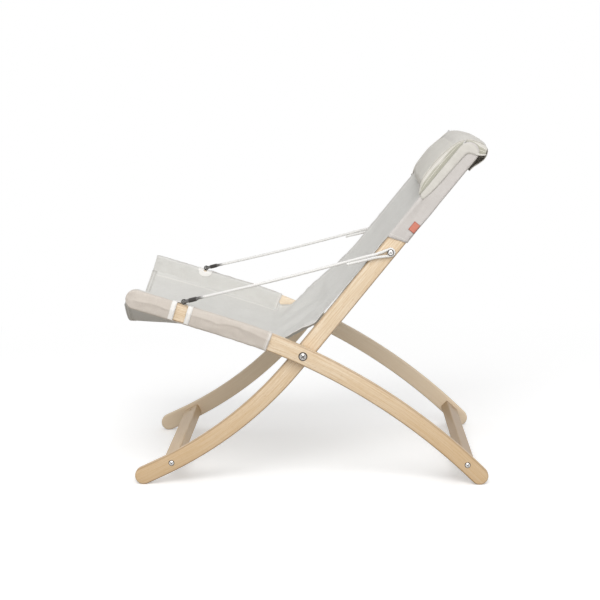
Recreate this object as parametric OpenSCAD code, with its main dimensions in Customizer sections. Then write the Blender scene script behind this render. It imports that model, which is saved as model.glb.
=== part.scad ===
// Folding deck chair: two bent beech frames crossed at a pivot, with a sling between them.
// +Z is up, the sitter faces -Y, and +X is the sitter's left. The floor is Z = 0.

/* [Bars] */
// Width of every bent bar, seen from the side
bar_w = 42; // [36:1:46]
// Thickness of every bent bar
bar_t = 21; // [19:0.5:24]
// Radius along the long edges of the stretchers
edge_r = 3; // [1.5:0.5:5]
// Width of the chair over the seat bars
chair_w = 600; // [540:5:660]
// Gap between a seat bar and the back bar beside it
bar_gap = 3.5; // [3:0.1:5]
// Depth of the flat that each foot stands on
foot_flat = 0.5; // [0.3:0.1:1]

/* [Back frame] */
// Slope of the straight upper stretch, in degrees
back_slope = 50.4; // [48:0.1:53]
// Length of the straight upper stretch
back_straight = 655; // [600:5:700]
// Radius of the bend that makes the front leg
back_bend_r = 925; // [850:5:1000]
// How far that bend turns, in degrees
back_sweep = 25.7; // [24:0.1:27]
// Straight stretch between the bend and the foot's round end
foot_straight = 45; // [30:1:60]

/* [Seat frame] */
// Slope of the straight front stretch, in degrees
seat_slope = 17.9; // [16:0.1:20]
// Length of the straight front stretch
seat_straight = 244; // [225:1:260]
// Radius of the bend that makes the rear leg
seat_bend_r = 1450; // [1350:5:1550]

/* [Pivot] */
// Distance of the pivot above the back bar's bend
pivot_on_back = 29.5; // [20:0.5:40]
// Distance of the pivot behind the start of the seat bar's bend
pivot_on_seat = 186; // [170:1:200]
// Where the pivot lies from front to back
pivot_y = 2.9; // [-40:0.1:40]
// Diameter of the pivot bolt
pivot_bolt_d = 8; // [6:1:10]
// Diameter of its domed head
pivot_head_d = 21; // [18:0.5:24]
// Height of its domed head
pivot_head_h = 5; // [3.5:0.5:7]
// Running clearance of the bolt in the seat bar, on the radius
run_clear = 0.05; // [0.02:0.01:0.09]

/* [Stretchers] */
// Width of a stretcher along the leg
stretcher_w = 40; // [32:1:44]
// Thickness of a stretcher across the leg
stretcher_t = 24; // [20:1:28]
// Distance of the front stretcher from the middle of the foot's round end
front_stretcher_at = 75; // [60:1:90]
// Distance of the rear stretcher from the middle of the foot's round end
rear_stretcher_at = 40; // [35:1:55]
// Diameter of a stretcher bolt
leg_bolt_d = 6; // [5:1:7]
// Length of a stretcher bolt under its head
leg_bolt_l = 62; // [55:1:70]
// Diameter of a stretcher bolt's domed head
leg_head_d = 14; // [12:0.5:16]
// Diameter of a barrel nut
barrel_d = 10; // [9:0.5:12]
// Diameter of a dowel beside a stretcher bolt
dowel_d = 8; // [6:1:8]
// Length of a dowel
dowel_l = 34; // [28:1:40]

/* [Sling] */
// Thickness of the cloth
cloth_t = 1.2; // [0.8:0.1:1.6]
// Space between a bar and the sleeve round it
sleeve_clear = 0.4; // [0.3:0.1:0.8]
// How far a seat sleeve reaches behind the start of the bend
seat_sleeve_back = 100; // [90:1:110]
// Where a back sleeve starts above the bend
back_sleeve_from = 378; // [370:1:400]
// How far the sleeves reach past the ends of the bars
sleeve_over = 6; // [4:0.5:9]
// Radius of the corners at the front end of a seat sleeve
sleeve_corner = 9; // [6:1:14]
// How far the seat hangs below its seams at the front hem
hem_sag = 88; // [60:1:100]
// How far the rest of the seat hangs below its seams
seat_sag = 44; // [36:1:60]
// How far the back hangs behind its seams
back_sag = 16; // [8:1:20]
// Width of the stitched hem along the front
hem_w = 22; // [15:1:30]
// Clear width of the opening that lets the rope out of a seat sleeve
slot_w = 27; // [22:1:32]
// How much smaller the radius of the opening's half round is, on the inner side
slot_step = 3.5; // [2:0.5:5]
// Width of the tape round that opening
tape_w = 11; // [8:1:13]

/* [Head pillow] */
// Where the pillow starts above the back bar's bend
pillow_from = 500; // [470:5:520]
// How far the pillow's face stands in front of the back bars
pillow_proud = 17; // [12:1:25]
// How much further it stands out in the middle
pillow_crown = 14; // [6:1:22]
// Width of the pillow
pillow_w = 532; // [500:2:540]

/* [Arm ropes] */
// Diameter of the rope
rope_d = 7; // [6:0.5:8]
// Where the rope's screw sits above the back bar's bend
rope_screw_at = 346; // [335:1:352]
// How far that screw sits behind the bar's middle
rope_screw_back = 6; // [2:0.5:9]
// Where the rope's eye sits in front of the seat bar's bend
rope_eye_at = 117; // [110:1:125]
// Diameter of the rope screw's domed head
rope_head_d = 15; // [13:0.5:17]
// Diameter of the wire of the screw eye
eye_wire_d = 2.6; // [2.2:0.2:3.4]
// Space between the rope and the screw eye round it
eye_slack = 0.5; // [0.4:0.1:2]

/* [Hidden] */
// How far flat faces that turn on each other stand apart
face_gap = 0.1;
// How far soft pieces stay from their neighbours
soft_gap = 0.3;
// Clearance of a fixed bolt, dowel or nut in its hole, on the radius
hole_clear = 0.05;
beech = [0.85, 0.74, 0.55];
steel = [0.72, 0.72, 0.74];
canvas = [0.86, 0.85, 0.82];
$fn = 48;

// The two kinds of bar, as [angle of the straight stretch, its length, bend radius, sweep,
// straight foot, place of the pivot along the bar]. A place along a bar is measured from the
// start of its bend, positive on the straight stretch.
foot_z = bar_w / 2 - foot_flat;
back_bend_l = back_bend_r * back_sweep * PI / 180;
pivot_z = foot_z
    + (back_bend_r * sin(back_sweep) + foot_straight * cos(back_sweep) + pivot_on_back) * sin(back_slope)
    - (back_bend_r * (1 - cos(back_sweep)) + foot_straight * sin(back_sweep)) * cos(back_slope);
seat_up = 180 - seat_slope;
pivot_turn = pivot_on_seat / seat_bend_r * 180 / PI;
seat_centre_z = pivot_z + seat_bend_r * cos(seat_up - pivot_turn);
seat_sweep = seat_up - 90 - asin((foot_z - seat_centre_z) / seat_bend_r);
seat_bend_l = seat_bend_r * seat_sweep * PI / 180;
BACK = [back_slope, back_straight - bar_w / 2, back_bend_r, back_sweep, foot_straight, pivot_on_back];
SEAT = [seat_up, seat_straight - bar_w / 2, seat_bend_r, seat_sweep, 0, -pivot_on_seat];
front_cross = front_stretcher_at - back_bend_l - foot_straight;
rear_cross = rear_stretcher_at - seat_bend_l;

// Middle planes and faces of the bars on the left side
seat_x = chair_w / 2 - bar_t / 2;
back_x = seat_x - bar_t - bar_gap;
seat_in = seat_x - bar_t / 2;
back_in = back_x - bar_t / 2;
back_out = back_x + bar_t / 2;
seat_out = seat_x + bar_t / 2;

// Cloth round a bar
wrap = sleeve_clear + cloth_t;
sleeve_w = bar_w + 2 * wrap;
sleeve_t = bar_t + 2 * wrap;
seat_seam_x = seat_in - wrap - soft_gap;
back_seam_x = back_in - wrap - soft_gap;
seat_sleeve_end = seat_straight + sleeve_over;
back_sleeve_end = back_straight + sleeve_over;
panel_across = 24;

// A point of a bar's middle line, in the bar's own plane
function bar_point(b, s) =
    let (bend_l = b[2] * b[3] * PI / 180, a = -s / b[2] * 180 / PI)
    s >= 0 ? [s, 0]
    : -s <= bend_l ? [-b[2] * sin(a), b[2] * (1 - cos(a))]
    : [-b[2] * sin(b[3]) + (s + bend_l) * cos(b[3]), b[2] * (1 - cos(b[3])) - (s + bend_l) * sin(b[3])];
// How far the bar has bent at that point, in degrees
function bar_turn(b, s) = s >= 0 ? 0 : min(-s / b[2] * 180 / PI, b[3]);
// The chair's [y, z] of a point s along a bar and v across it
function on_bar(b, s, v = 0) =
    let (t = bar_turn(b, s), p = bar_point(b, s) + v * [sin(t), cos(t)] - bar_point(b, b[5]))
    [pivot_y + p.x * cos(b[0]) - p.y * sin(b[0]), pivot_z + p.x * sin(b[0]) + p.y * cos(b[0])];
// The direction along a bar
function bar_dir(b, s) = let (a = b[0] - bar_turn(b, s)) [cos(a), sin(a)];

// Puts what is drawn along X, with its width along Y and its thickness along Z, in a bar's
// place: x = 0 is the start of the bend
module in_bar(b, x = 0)
    translate([x, pivot_y, pivot_z]) rotate([90, 0, 90]) rotate([0, 0, b[0]])
        translate(-[bar_point(b, b[5]).x, bar_point(b, b[5]).y, 0]) children();
// Puts what is drawn along Z in a hole through a bar at s and v, with Z towards +X
module across_bar(b, x, s, v = 0)
    translate([x, on_bar(b, s, v).x, on_bar(b, s, v).y]) rotate([b[0] - bar_turn(b, s), 0, 0])
        rotate([0, 90, 0]) children();
module mirrored() {
    children();
    mirror([1, 0, 0]) children();
}

// The side view of a bar w wide from s0 to s1 along its middle line, in the bar's own plane.
// Its ends are half round, or have corners of their own radius, or are square where said.
bend_step = 24;
end_steps = 14;
function side_line(b, s0, s1, v) = [for (s = stations(b, s0, s1)) flat_point(b, s, v)];
function flat_point(b, s, v) = let (t = bar_turn(b, s)) bar_point(b, s) + v * [sin(t), cos(t)];
function stations(b, s0, s1) =
    let (bend_l = b[2] * b[3] * PI / 180, from = max(s0, -bend_l), to = min(s1, 0),
         n = max(1, ceil((to - from) / bend_step)))
    concat(s0 < from ? [s0] : [], to > from ? [for (i = [0:n]) from + (to - from) * i / n] : [s0],
           s1 > max(to, s0) ? [s1] : []);
function round_end(b, s, w, side, r) = [for (i = [1:end_steps - 1])
    let (a = 90 - 180 * i / end_steps, t = bar_turn(b, s))
    flat_point(b, s, side * (r * sin(a) + sign(a) * (w / 2 - r))) + side * r * cos(a) * [cos(t), -sin(t)]];
function reversed(list) = [for (i = [len(list) - 1:-1:0]) list[i]];
module side_view(b, s0, s1, w, low_round = true, high_round = true, corner = 0) polygon(concat(
    side_line(b, s0, s1, w / 2), high_round ? round_end(b, s1, w, 1, corner > 0 ? corner : w / 2) : [],
    reversed(side_line(b, s0, s1, -w / 2)), low_round ? round_end(b, s0, w, -1, w / 2) : []));
module slab(b, x, s0, s1, w, t, low_round = true, high_round = true, corner = 0) in_bar(b, x)
    linear_extrude(t, center = true) side_view(b, s0, s1, w, low_round, high_round, corner);
// A hole through a bar at s and v
module hole(b, x, s, d, v = 0)
    across_bar(b, x, s, v) cylinder(d = d, h = 2 * bar_t, center = true);
module floor_cut()
    translate([-chair_w, -1000, -bar_w]) cube([2 * chair_w, 2000, bar_w]);

module back_bar() color(beech) difference() {
    slab(BACK, back_x, -back_bend_l - foot_straight, BACK[1], bar_w, bar_t);
    floor_cut();
    hole(BACK, back_x, pivot_on_back, pivot_bolt_d + 2 * hole_clear);
    hole(BACK, back_x, front_cross, leg_bolt_d + 2 * hole_clear);
    across_bar(BACK, back_in - 1, front_cross) translate([0, dowel_off, 0])
        cylinder(d = dowel_d + 2 * hole_clear, h = dowel_in + 1.5);
    across_bar(BACK, back_out - rope_screw_in, rope_screw_at, -rope_screw_back)
        cylinder(d = rope_shank_d + 2 * hole_clear, h = rope_screw_in + 1);
}
module seat_bar() color(beech) difference() {
    slab(SEAT, seat_x, -seat_bend_l, SEAT[1], bar_w, bar_t);
    floor_cut();
    hole(SEAT, seat_x, -pivot_on_seat, pivot_bolt_d + 2 * run_clear);
    hole(SEAT, seat_x, rear_cross, leg_bolt_d + 2 * hole_clear);
    across_bar(SEAT, seat_in - 1, rear_cross) translate([0, dowel_off, 0])
        cylinder(d = dowel_d + 2 * hole_clear, h = dowel_in + 1.5);
    eye_place() translate([0, 0, -eye_shank_l - 0.5])
        cylinder(d = eye_wire_d + 2 * hole_clear, h = eye_shank_l + 3);
}

// A rectangle w by t with rounded corners
module rounded(w, t, r) {
    square([w - 2 * r, t], center = true);
    square([w, t - 2 * r], center = true);
    for (x = [-1, 1], y = [-1, 1]) translate([x * (w / 2 - r), y * (t / 2 - r)]) circle(r);
}

// Stretchers, with their bolts, barrel nuts and dowels
dowel_off = (stretcher_w + leg_bolt_d) / 4;
dowel_in = dowel_l / 3;
barrel_at = leg_bolt_l - bar_t - 10;
leg_head_h = 3;
module at_cross(b, s) translate([0, on_bar(b, s).x, on_bar(b, s).y]) children();
module stretcher(b, s, inside) color(beech) at_cross(b, s) difference() {
    rotate([b[0] - bar_turn(b, s), 0, 0]) rotate([0, 90, 0])
        linear_extrude(2 * inside, center = true) rounded(stretcher_t, stretcher_w, edge_r);
    mirrored() {
        translate([inside - leg_bolt_l, 0, 0]) rotate([0, 90, 0])
            cylinder(d = leg_bolt_d + 2 * hole_clear, h = leg_bolt_l + 1);
        translate([inside - barrel_at, 0, 0]) rotate([b[0] - bar_turn(b, s), 0, 0])
            cylinder(d = barrel_d + 2 * hole_clear, h = 2 * stretcher_t, center = true);
        rotate([b[0] - bar_turn(b, s), 0, 0]) translate([inside + dowel_in - dowel_l - 0.5, dowel_off, 0])
            rotate([0, 90, 0]) cylinder(d = dowel_d + 2 * hole_clear, h = dowel_l + 1);
    }
}
module leg_bolts(b, s, inside) color(steel) at_cross(b, s) mirrored()
    translate([inside + bar_t, 0, 0]) rotate([0, 90, 0]) {
        translate([0, 0, -leg_bolt_l]) cylinder(d = leg_bolt_d, h = leg_bolt_l);
        domed_head(leg_head_d, leg_head_h);
    }
module barrel_nuts(b, s, inside) color(steel) at_cross(b, s) mirrored()
    translate([inside - barrel_at, 0, 0]) rotate([b[0] - bar_turn(b, s), 0, 0]) difference() {
        cylinder(d = barrel_d, h = stretcher_t - 6, center = true);
        rotate([0, 90, 0]) cylinder(d = leg_bolt_d + 2 * hole_clear, h = 2 * barrel_d, center = true);
    }
module dowels(b, s, inside) color(beech) at_cross(b, s) mirrored()
    rotate([b[0] - bar_turn(b, s), 0, 0]) translate([inside + dowel_in - dowel_l, dowel_off, 0])
        rotate([0, 90, 0]) cylinder(d = dowel_d, h = dowel_l);

// A low domed head standing on z = 0, with a cross recess whose length and width are shares of
// its diameter
cross_l = 0.42;
cross_t = 0.1;
module domed_head(d, h) {
    ball_r = (d * d / 4 + h * h) / (2 * h);
    difference() {
        intersection() {
            translate([0, 0, h - ball_r]) sphere(ball_r, $fn = 96);
            cylinder(d = d + 1, h = h + 1);
        }
        for (a = [45, 135]) rotate([0, 0, a]) translate([0, 0, h])
            cube([d * cross_l, d * cross_t, h], center = true);
    }
}

// The pivot, from the outside in: head, seat bar, spacer, back bar, washer, cap nut
pivot_washer_d = 22;
pivot_washer_t = 1.5;
nut_h = 9;
nut_d = 15;
nut_cone_h = 2;
nut_tip_d = 7.5;
nut_neck_d = 12;
pivot_bolt_l = seat_out + face_gap - back_in + pivot_washer_t + nut_h - nut_cone_h;
module at_pivot(x) translate([x, pivot_y, pivot_z]) rotate([0, 90, 0]) children();
module pivot_bolts() color(steel) mirrored() at_pivot(seat_out + face_gap) {
    translate([0, 0, -pivot_bolt_l]) cylinder(d = pivot_bolt_d, h = pivot_bolt_l);
    domed_head(pivot_head_d, pivot_head_h);
}
module pivot_spacers() color([0.93, 0.93, 0.9]) mirrored() at_pivot(back_out) difference() {
    cylinder(d = pivot_washer_d + 3, h = bar_gap - face_gap);
    translate([0, 0, -1]) cylinder(d = pivot_bolt_d + 2 * hole_clear, h = bar_gap + 2);
}
module pivot_washers() color(steel) mirrored() at_pivot(back_in - pivot_washer_t) difference() {
    cylinder(d = pivot_washer_d, h = pivot_washer_t);
    translate([0, 0, -1]) cylinder(d = pivot_bolt_d + 2 * hole_clear, h = pivot_washer_t + 2);
}
module pivot_nuts() color(steel) mirrored() at_pivot(back_in - pivot_washer_t - nut_h) difference() {
    union() {
        translate([0, 0, nut_cone_h]) cylinder(d = nut_d, h = nut_h - nut_cone_h, $fn = 6);
        cylinder(d1 = nut_tip_d, d2 = nut_neck_d, h = nut_cone_h);
    }
    translate([0, 0, nut_cone_h - 0.5]) cylinder(d = pivot_bolt_d + 2 * hole_clear, h = nut_h);
}

// Sleeves: cloth tubes round the bars, sewn shut at the outer end. The seat's are squarer there
// than the bars in them.
module tube(b, x, s0, s1, corner) color(canvas) difference() {
    slab(b, x, s0, s1 - corner, sleeve_w, sleeve_t, low_round = false, corner = corner);
    slab(b, x, s0 - 5, s1 - corner, sleeve_w - 2 * cloth_t, sleeve_t - 2 * cloth_t, low_round = false,
        corner = corner - cloth_t);
}
// The space that the rope comes out through: the top and outer side of a seat sleeve, and a
// smaller half round in its inner side, each grown by more
slot_out = 3;
module slot_space(more) in_bar(SEAT, seat_x) {
    translate([rope_eye_at - slot_w / 2 - more, -sleeve_w / 2 - slot_out, 0])
        cube([slot_w + 2 * more, sleeve_w, sleeve_t / 2 + slot_out]);
    translate([rope_eye_at, -sleeve_w / 2 - 1, -sleeve_t / 2 - slot_out])
        cylinder(d = slot_w + 2 * (more - slot_step), h = sleeve_t / 2 + slot_out + 1);
}
module seat_sleeve() color(canvas) difference() {
    tube(SEAT, seat_x, -seat_sleeve_back, seat_sleeve_end, sleeve_corner);
    slot_space(0);
}
module back_sleeve() tube(BACK, back_x, back_sleeve_from, back_sleeve_end, sleeve_w / 2);
// Tape folded round the edges of the opening, lying on the sleeve
tape_t = 0.7;
module slot_tape() color([0.96, 0.95, 0.92]) difference() {
    intersection() {
        slot_space(tape_w);
        slab(SEAT, seat_x, 0, SEAT[1], sleeve_w + 2 * (soft_gap + tape_t),
            sleeve_t + 2 * (soft_gap + tape_t));
    }
    slot_space(0);
    slab(SEAT, seat_x, -1, SEAT[1] + 1, sleeve_w + 2 * soft_gap, sleeve_t + 2 * soft_gap);
}

// Screw eyes in the top of the seat bars, and the screws on the back bars
eye_shank_l = 22;
eye_bore_d = rope_d + 2 * eye_slack;
eye_r = (eye_bore_d + eye_wire_d) / 2;
eye_rise = eye_r + eye_wire_d / 2 + soft_gap;
rope_shank_d = 4.5;
rope_screw_in = 15;
module eye_place() in_bar(SEAT, seat_x) translate([rope_eye_at, -bar_w / 2, 0])
    rotate([90, 0, 0]) children();
module rope_eyes() color([0.25, 0.24, 0.23]) mirrored() eye_place() {
    translate([0, 0, -eye_shank_l]) cylinder(d = eye_wire_d, h = eye_shank_l + 1);
    translate([0, 0, eye_rise]) rotate([0, 90, 90]) rotate_extrude($fn = 24)
        translate([eye_r, 0]) circle(d = eye_wire_d, $fn = 10);
}

// The rope's screw passes a thin washer on each side of the rope's loop
rope_washer_t = 1;
rope_washer_d = 13;
rope_head_h = 3.5;
rope_x = back_out + rope_washer_t + soft_gap + rope_d / 2;
module at_rope_screw(x) across_bar(BACK, x, rope_screw_at, -rope_screw_back) children();
rope_head_x = rope_x + rope_d / 2 + soft_gap + rope_washer_t;
module rope_screws() color(steel) mirrored() at_rope_screw(rope_head_x) {
    translate([0, 0, back_out - rope_screw_in - rope_head_x])
        cylinder(d = rope_shank_d, h = rope_head_x - back_out + rope_screw_in);
    domed_head(rope_head_d, rope_head_h);
}
module rope_washers() color(steel) mirrored()
    for (x = [back_out, rope_head_x - rope_washer_t]) at_rope_screw(x) difference() {
        cylinder(d = rope_washer_d, h = rope_washer_t);
        translate([0, 0, -1]) cylinder(d = rope_shank_d + 2 * hole_clear, h = rope_washer_t + 2);
    }

// The rope: a loop round the screw, its tail laid back under it, a taut run, and a turn
// through the screw eye with a short tail beside it
rope_tail_l = 105;
rope_neck_l = 36;
rope_loop_slack = 2.25;
rope_loop_r = (rope_shank_d + rope_d) / 2 + rope_loop_slack;
rope_pair = (rope_d + soft_gap) / 2;
rope_turn_r = (eye_wire_d + rope_d) / 2 + soft_gap;
rope_short_tail = 34;
rope_rings = 16;
rope_top = concat(rope_x, on_bar(BACK, rope_screw_at, -rope_screw_back));
rope_low = concat(seat_x, on_bar(SEAT, rope_eye_at, -bar_w / 2 - eye_rise));
rope_dir = (rope_top - rope_low) / norm(rope_top - rope_low);
rope_up = cross([1, 0, 0], rope_dir) / norm(cross([1, 0, 0], rope_dir));
function rope_at(back, up, side = 0) = rope_top - back * rope_dir + up * rope_up + [side, 0, 0];
function rope_end(back, side) = rope_low + back * rope_dir + [side, 0, 0];
// The two strands beside the eye, which spread towards it
function rope_strand(i, side) =
    rope_end(rope_short_tail - 12 * i, side * (rope_pair + i * (rope_turn_r - rope_pair) * 0.6));
rope_route = concat(
    [for (i = [0:4]) rope_at(rope_tail_l - i * (rope_tail_l - rope_neck_l) / 4, -rope_pair)],
    [for (i = [0:8]) let (a = -112 + 28 * i) rope_at(-rope_loop_r * cos(a), rope_loop_r * sin(a))],
    [for (i = [0:2]) rope_at(rope_neck_l + 12 * i, rope_pair)],
    [for (i = [1:rope_rings]) let (f = i / (rope_rings + 1))
        (1 - f) * rope_at(rope_neck_l + 24, rope_pair) + f * rope_end(rope_short_tail + 8, -rope_pair)],
    [for (i = [0:1]) rope_strand(i, -1)],
    [for (i = [0:6]) let (a = -90 + 30 * i) rope_end(rope_turn_r * (1 - cos(a)), rope_turn_r * sin(a))],
    [for (i = [1:-1:0]) rope_strand(i, 1)]);

// A round tube of the given diameter, swept along a route with a ring at each of its points
function unit(v) = v / norm(v);
module swept(route, d, sides) {
    n = len(route);
    along = [for (i = [0:n - 1]) unit(route[min(i + 1, n - 1)] - route[max(i - 1, 0)])];
    points = [for (i = [0:n - 1]) let (u = unit(cross(along[i], frame_dir)), w = cross(along[i], u))
        for (k = [0:sides - 1]) route[i] + d / 2 * (cos(360 * k / sides) * u + sin(360 * k / sides) * w)];
    faces = concat([[for (k = [0:sides - 1]) k]],
        [for (i = [0:n - 2], k = [0:sides - 1]) let (a = i * sides, l = (k + 1) % sides)
            [a + k, a + sides + k, a + sides + l]],
        [for (i = [0:n - 2], k = [0:sides - 1]) let (a = i * sides, l = (k + 1) % sides)
            [a + k, a + sides + l, a + l]],
        [[for (k = [sides - 1:-1:0]) (n - 1) * sides + k]]);
    polyhedron(points, faces);
}
// No stretch of the rope runs along this direction
frame_dir = unit([1, 0.35, 0.6]);
module arm_rope() color([0.93, 0.92, 0.88]) swept(rope_route, rope_d, 8);

// Dark binding that holds the two strands together next to the screw eye
whipping_l = 18;
whipping_t = 0.7;
module rope_whippings() color([0.2, 0.2, 0.2]) mirrored() multmatrix([
    [1, 0, rope_dir.x, rope_end(rope_short_tail - whipping_l - 4, 0).x],
    [0, rope_up.y, rope_dir.y, rope_end(rope_short_tail - whipping_l - 4, 0).y],
    [0, rope_up.z, rope_dir.z, rope_end(rope_short_tail - whipping_l - 4, 0).z],
    [0, 0, 0, 1]]) linear_extrude(whipping_l) difference() {
        oval(2 * rope_turn_r, rope_d + 2 * (soft_gap + whipping_t));
        oval(2 * rope_turn_r, rope_d + 2 * soft_gap);
    }
module oval(apart, d) {
    for (x = [-1, 1]) translate([x * apart / 2, 0]) circle(d = d);
    square([apart, d], center = true);
}

// A cloth sheet of even thickness over rows of points
function row_at(rows, i, j) =
    rows[max(0, min(i, len(rows) - 1))][max(0, min(j, len(rows[0]) - 1))];
function sheet_normal(rows, i, j) = unit(cross(row_at(rows, i, j + 1) - row_at(rows, i, j - 1),
                                              row_at(rows, i + 1, j) - row_at(rows, i - 1, j)));
module sheet(rows, t) {
    n = len(rows);
    m = len(rows[0]);
    side = [for (z = [-1, 1], i = [0:n - 1], j = [0:m - 1])
        rows[i][j] + z * t / 2 * sheet_normal(rows, i, j)];
    cells = [for (i = [0:n - 2], j = [0:m - 2]) let (c = i * m + j) [c, c + 1, c + m + 1, c + m]];
    rim = concat([for (j = [0:m - 2]) [j, j + 1]], [for (i = [1:n - 1]) [i * m - 1, (i + 1) * m - 1]],
                 [for (j = [m - 1:-1:1]) [(n - 1) * m + j, (n - 1) * m + j - 1]],
                 [for (i = [n - 1:-1:1]) [i * m, (i - 1) * m]]);
    o = n * m;
    polyhedron(side, concat(
        [for (c = cells) [c[0], c[1], c[2]]], [for (c = cells) [c[0], c[2], c[3]]],
        [for (c = cells) [c[2] + o, c[1] + o, c[0] + o]], [for (c = cells) [c[3] + o, c[2] + o, c[0] + o]],
        [for (e = rim) [e[1], e[0], e[0] + o]], [for (e = rim) [e[1], e[0] + o, e[1] + o]]));
}

// The seat hangs from seams along the inner lower edges of the seat sleeves
seam_v = sleeve_w / 2 - 3;
hem_bulge = 9;
sag_from = 120;
function sag_at(s) = seat_sag
    + (hem_sag - seat_sag) * pow(max(0, s - sag_from) / (seat_sleeve_end - sag_from), 2);
function seat_point(s, u) = let (hang = 1 - u * u, f = max(0, s) / seat_sleeve_end)
    concat(seat_seam_x * u, on_bar(SEAT, s + hem_bulge * hang * pow(f, 4), seam_v + sag_at(s) * hang));
function across(n) = [for (j = [0:n]) 2 * j / n - 1];
seat_rows_from = -seat_sleeve_back;
seat_rows_to = seat_sleeve_end - hem_w;
module seat_panel() color(canvas) sheet([for (i = [0:14])
    [for (u = across(panel_across)) seat_point(seat_rows_from + (seat_rows_to - seat_rows_from) * i / 14, u)]],
    cloth_t);
// The front hem is folded over twice, so it is thicker
hem_t = 2.5 * cloth_t;
hem_fit = 1 - hem_t / 4 / seat_seam_x;
module front_hem() color(canvas) sheet([for (i = [0:2]) [for (u = across(panel_across))
    seat_point(seat_rows_to + soft_gap + (hem_w - soft_gap) * i / 2, hem_fit * u)]], hem_t);

// The back is sewn to the fronts of its sleeves and hangs a little behind them
function back_hang(u) = back_sag * (1 - u * u);
function back_point(s, u) = concat(back_seam_x * u, on_bar(BACK, s, seam_v - back_hang(u)));
back_rows = 12;
module back_panel() color(canvas) sheet([for (i = [0:back_rows])
    let (s = back_sleeve_from + (back_straight - back_sleeve_from) * i / back_rows)
    [for (u = across(panel_across)) back_point(s, u)]], cloth_t);

// Between them the sling is free. Next to each edge it has a margin, which leaves the inner side
// of the seat sleeve, crosses in front of the back bar and lies on it up to the back sleeve. Each
// of its lines is a curve up to the place where it meets the back, and straight from there.
margin_n = 3;
edge_drop = 20;
edge_in = 3;
edge_over = 1;
meet_lift = 5;
meet_at = 140;
function margin(j) = min(j, panel_across - j, margin_n) / margin_n;
function inner_u(j) = max(-1, min(1, (j - panel_across / 2) / (panel_across / 2 - margin_n)));
function side(j) = j < panel_across / 2 ? -1 : 1;
function seat_edge(j) = let (m = margin(j), v = m < 1 ? (1 - m) * (edge_drop - sleeve_w / 2) + m * seam_v
        : seam_v + seat_sag * (1 - pow(inner_u(j), 2)))
    concat(seat_seam_x * (m < 1 ? side(j) : inner_u(j)), on_bar(SEAT, -seat_sleeve_back - 2 * soft_gap, v));
on_bar_v = bar_w / 2 + soft_gap + cloth_t / 2;
function edge_x(m) = back_out - edge_in - (bar_t - edge_in - edge_over) * m;
function on_back(j, s, lift) = let (m = margin(j), u = inner_u(j)) m < 1
    ? concat(side(j) * edge_x(m), on_bar(BACK, s, on_bar_v + lift))
    : concat(back_seam_x * u, on_bar(BACK, s, (abs(u) < 1 ? seam_v : on_bar_v) - back_hang(u) + lift));
function curve(a, b, c, d, f) = let (g = 1 - f)
    g * g * g * a + 3 * g * g * f * b + 3 * g * f * f * c + f * f * f * d;
pull_seat = 52;
pull_back = 70;
curve_steps = 14;
straight_steps = 8;
function bend_line(j) = let (
        a = seat_edge(j), e = on_back(j, meet_at, meet_lift),
        d = on_back(j, back_sleeve_from - 2 * soft_gap, 0),
        b = a - pull_seat * (0.6 + 0.4 * margin(j)) * concat(0, bar_dir(SEAT, -seat_sleeve_back)),
        c = e - pull_back * concat(0, bar_dir(BACK, 0)))
    concat([for (i = [0:curve_steps]) curve(a, b, c, e, i / curve_steps)],
           [for (i = [1:straight_steps]) e + (d - e) * i / straight_steps]);
bend_lines = [for (j = [0:panel_across]) bend_line(j)];
module bend_panel() color(canvas) sheet([for (i = [0:curve_steps + straight_steps])
    [for (j = [0:panel_across]) bend_lines[j][i]]], cloth_t);

// The head pillow lies in front of the back sleeves, crowned, with its ends drawn in. Its face
// and its back are two sheets of points that meet along its rim.
pillow_to = back_straight + sleeve_over;
pillow_n = 20;
pillow_m = 12;
pillow_back_v = sleeve_w / 2 + soft_gap;
pillow_rim = 4;
function swell(q, e) = pow(max(0, 1 - pow(abs(q), e)), 0.5);
function pillow_point(i, j, face) = let (
        u = 2 * i / pillow_n - 1, q = 2 * j / pillow_m - 1,
        full = swell(u, 8) * swell(q, q > 0 ? 3 : 6), draw = 1 - 0.04 * (1 - q * q) * pow(abs(u), 6),
        s = (pillow_from + pillow_to) / 2 + (pillow_to - pillow_from) / 2 * q,
        front = pillow_back_v + pillow_rim + (pillow_proud - pillow_rim + pillow_crown * (1 - u * u)) * full,
        inside = max(0, 1 - pow(pillow_w / 2 * u / (back_seam_x - 8), 6)),
        back = pillow_back_v + pillow_rim * (1 - full) - (back_hang(0) - 4) * inside * full)
    concat(pillow_w / 2 * u * draw, on_bar(BACK, s, face ? front : back));
// A point on the back's rim is the face's own
function pillow_id(i, j, face) = (pillow_m + 1) * i + j
    + (face || i == 0 || i == pillow_n || j == 0 || j == pillow_m ? 0 : (pillow_n + 1) * (pillow_m + 1));
// A cell's first corner is one that faces the middle or a corner of the pillow
function pillow_cells(face) = [for (i = [0:pillow_n - 1], j = [0:pillow_m - 1])
    let (corners = [[i, j], [i + 1, j], [i + 1, j + 1], [i, j + 1]],
         from = (2 * i + 1 - pillow_n) * (2 * j + 1 - pillow_m) > 0 ? 0 : 1)
    [for (k = [0:3]) let (c = corners[(k + from) % 4]) pillow_id(c[0], c[1], face)]];
module head_pillow() color(canvas) polyhedron(
    [for (face = [true, false], i = [0:pillow_n], j = [0:pillow_m]) pillow_point(i, j, face)],
    concat([for (c = pillow_cells(true)) [c[0], c[1], c[2]]],
        [for (c = pillow_cells(true)) [c[0], c[2], c[3]]],
        [for (c = pillow_cells(false)) [c[2], c[1], c[0]]],
        [for (c = pillow_cells(false)) [c[3], c[2], c[0]]]));
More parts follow.
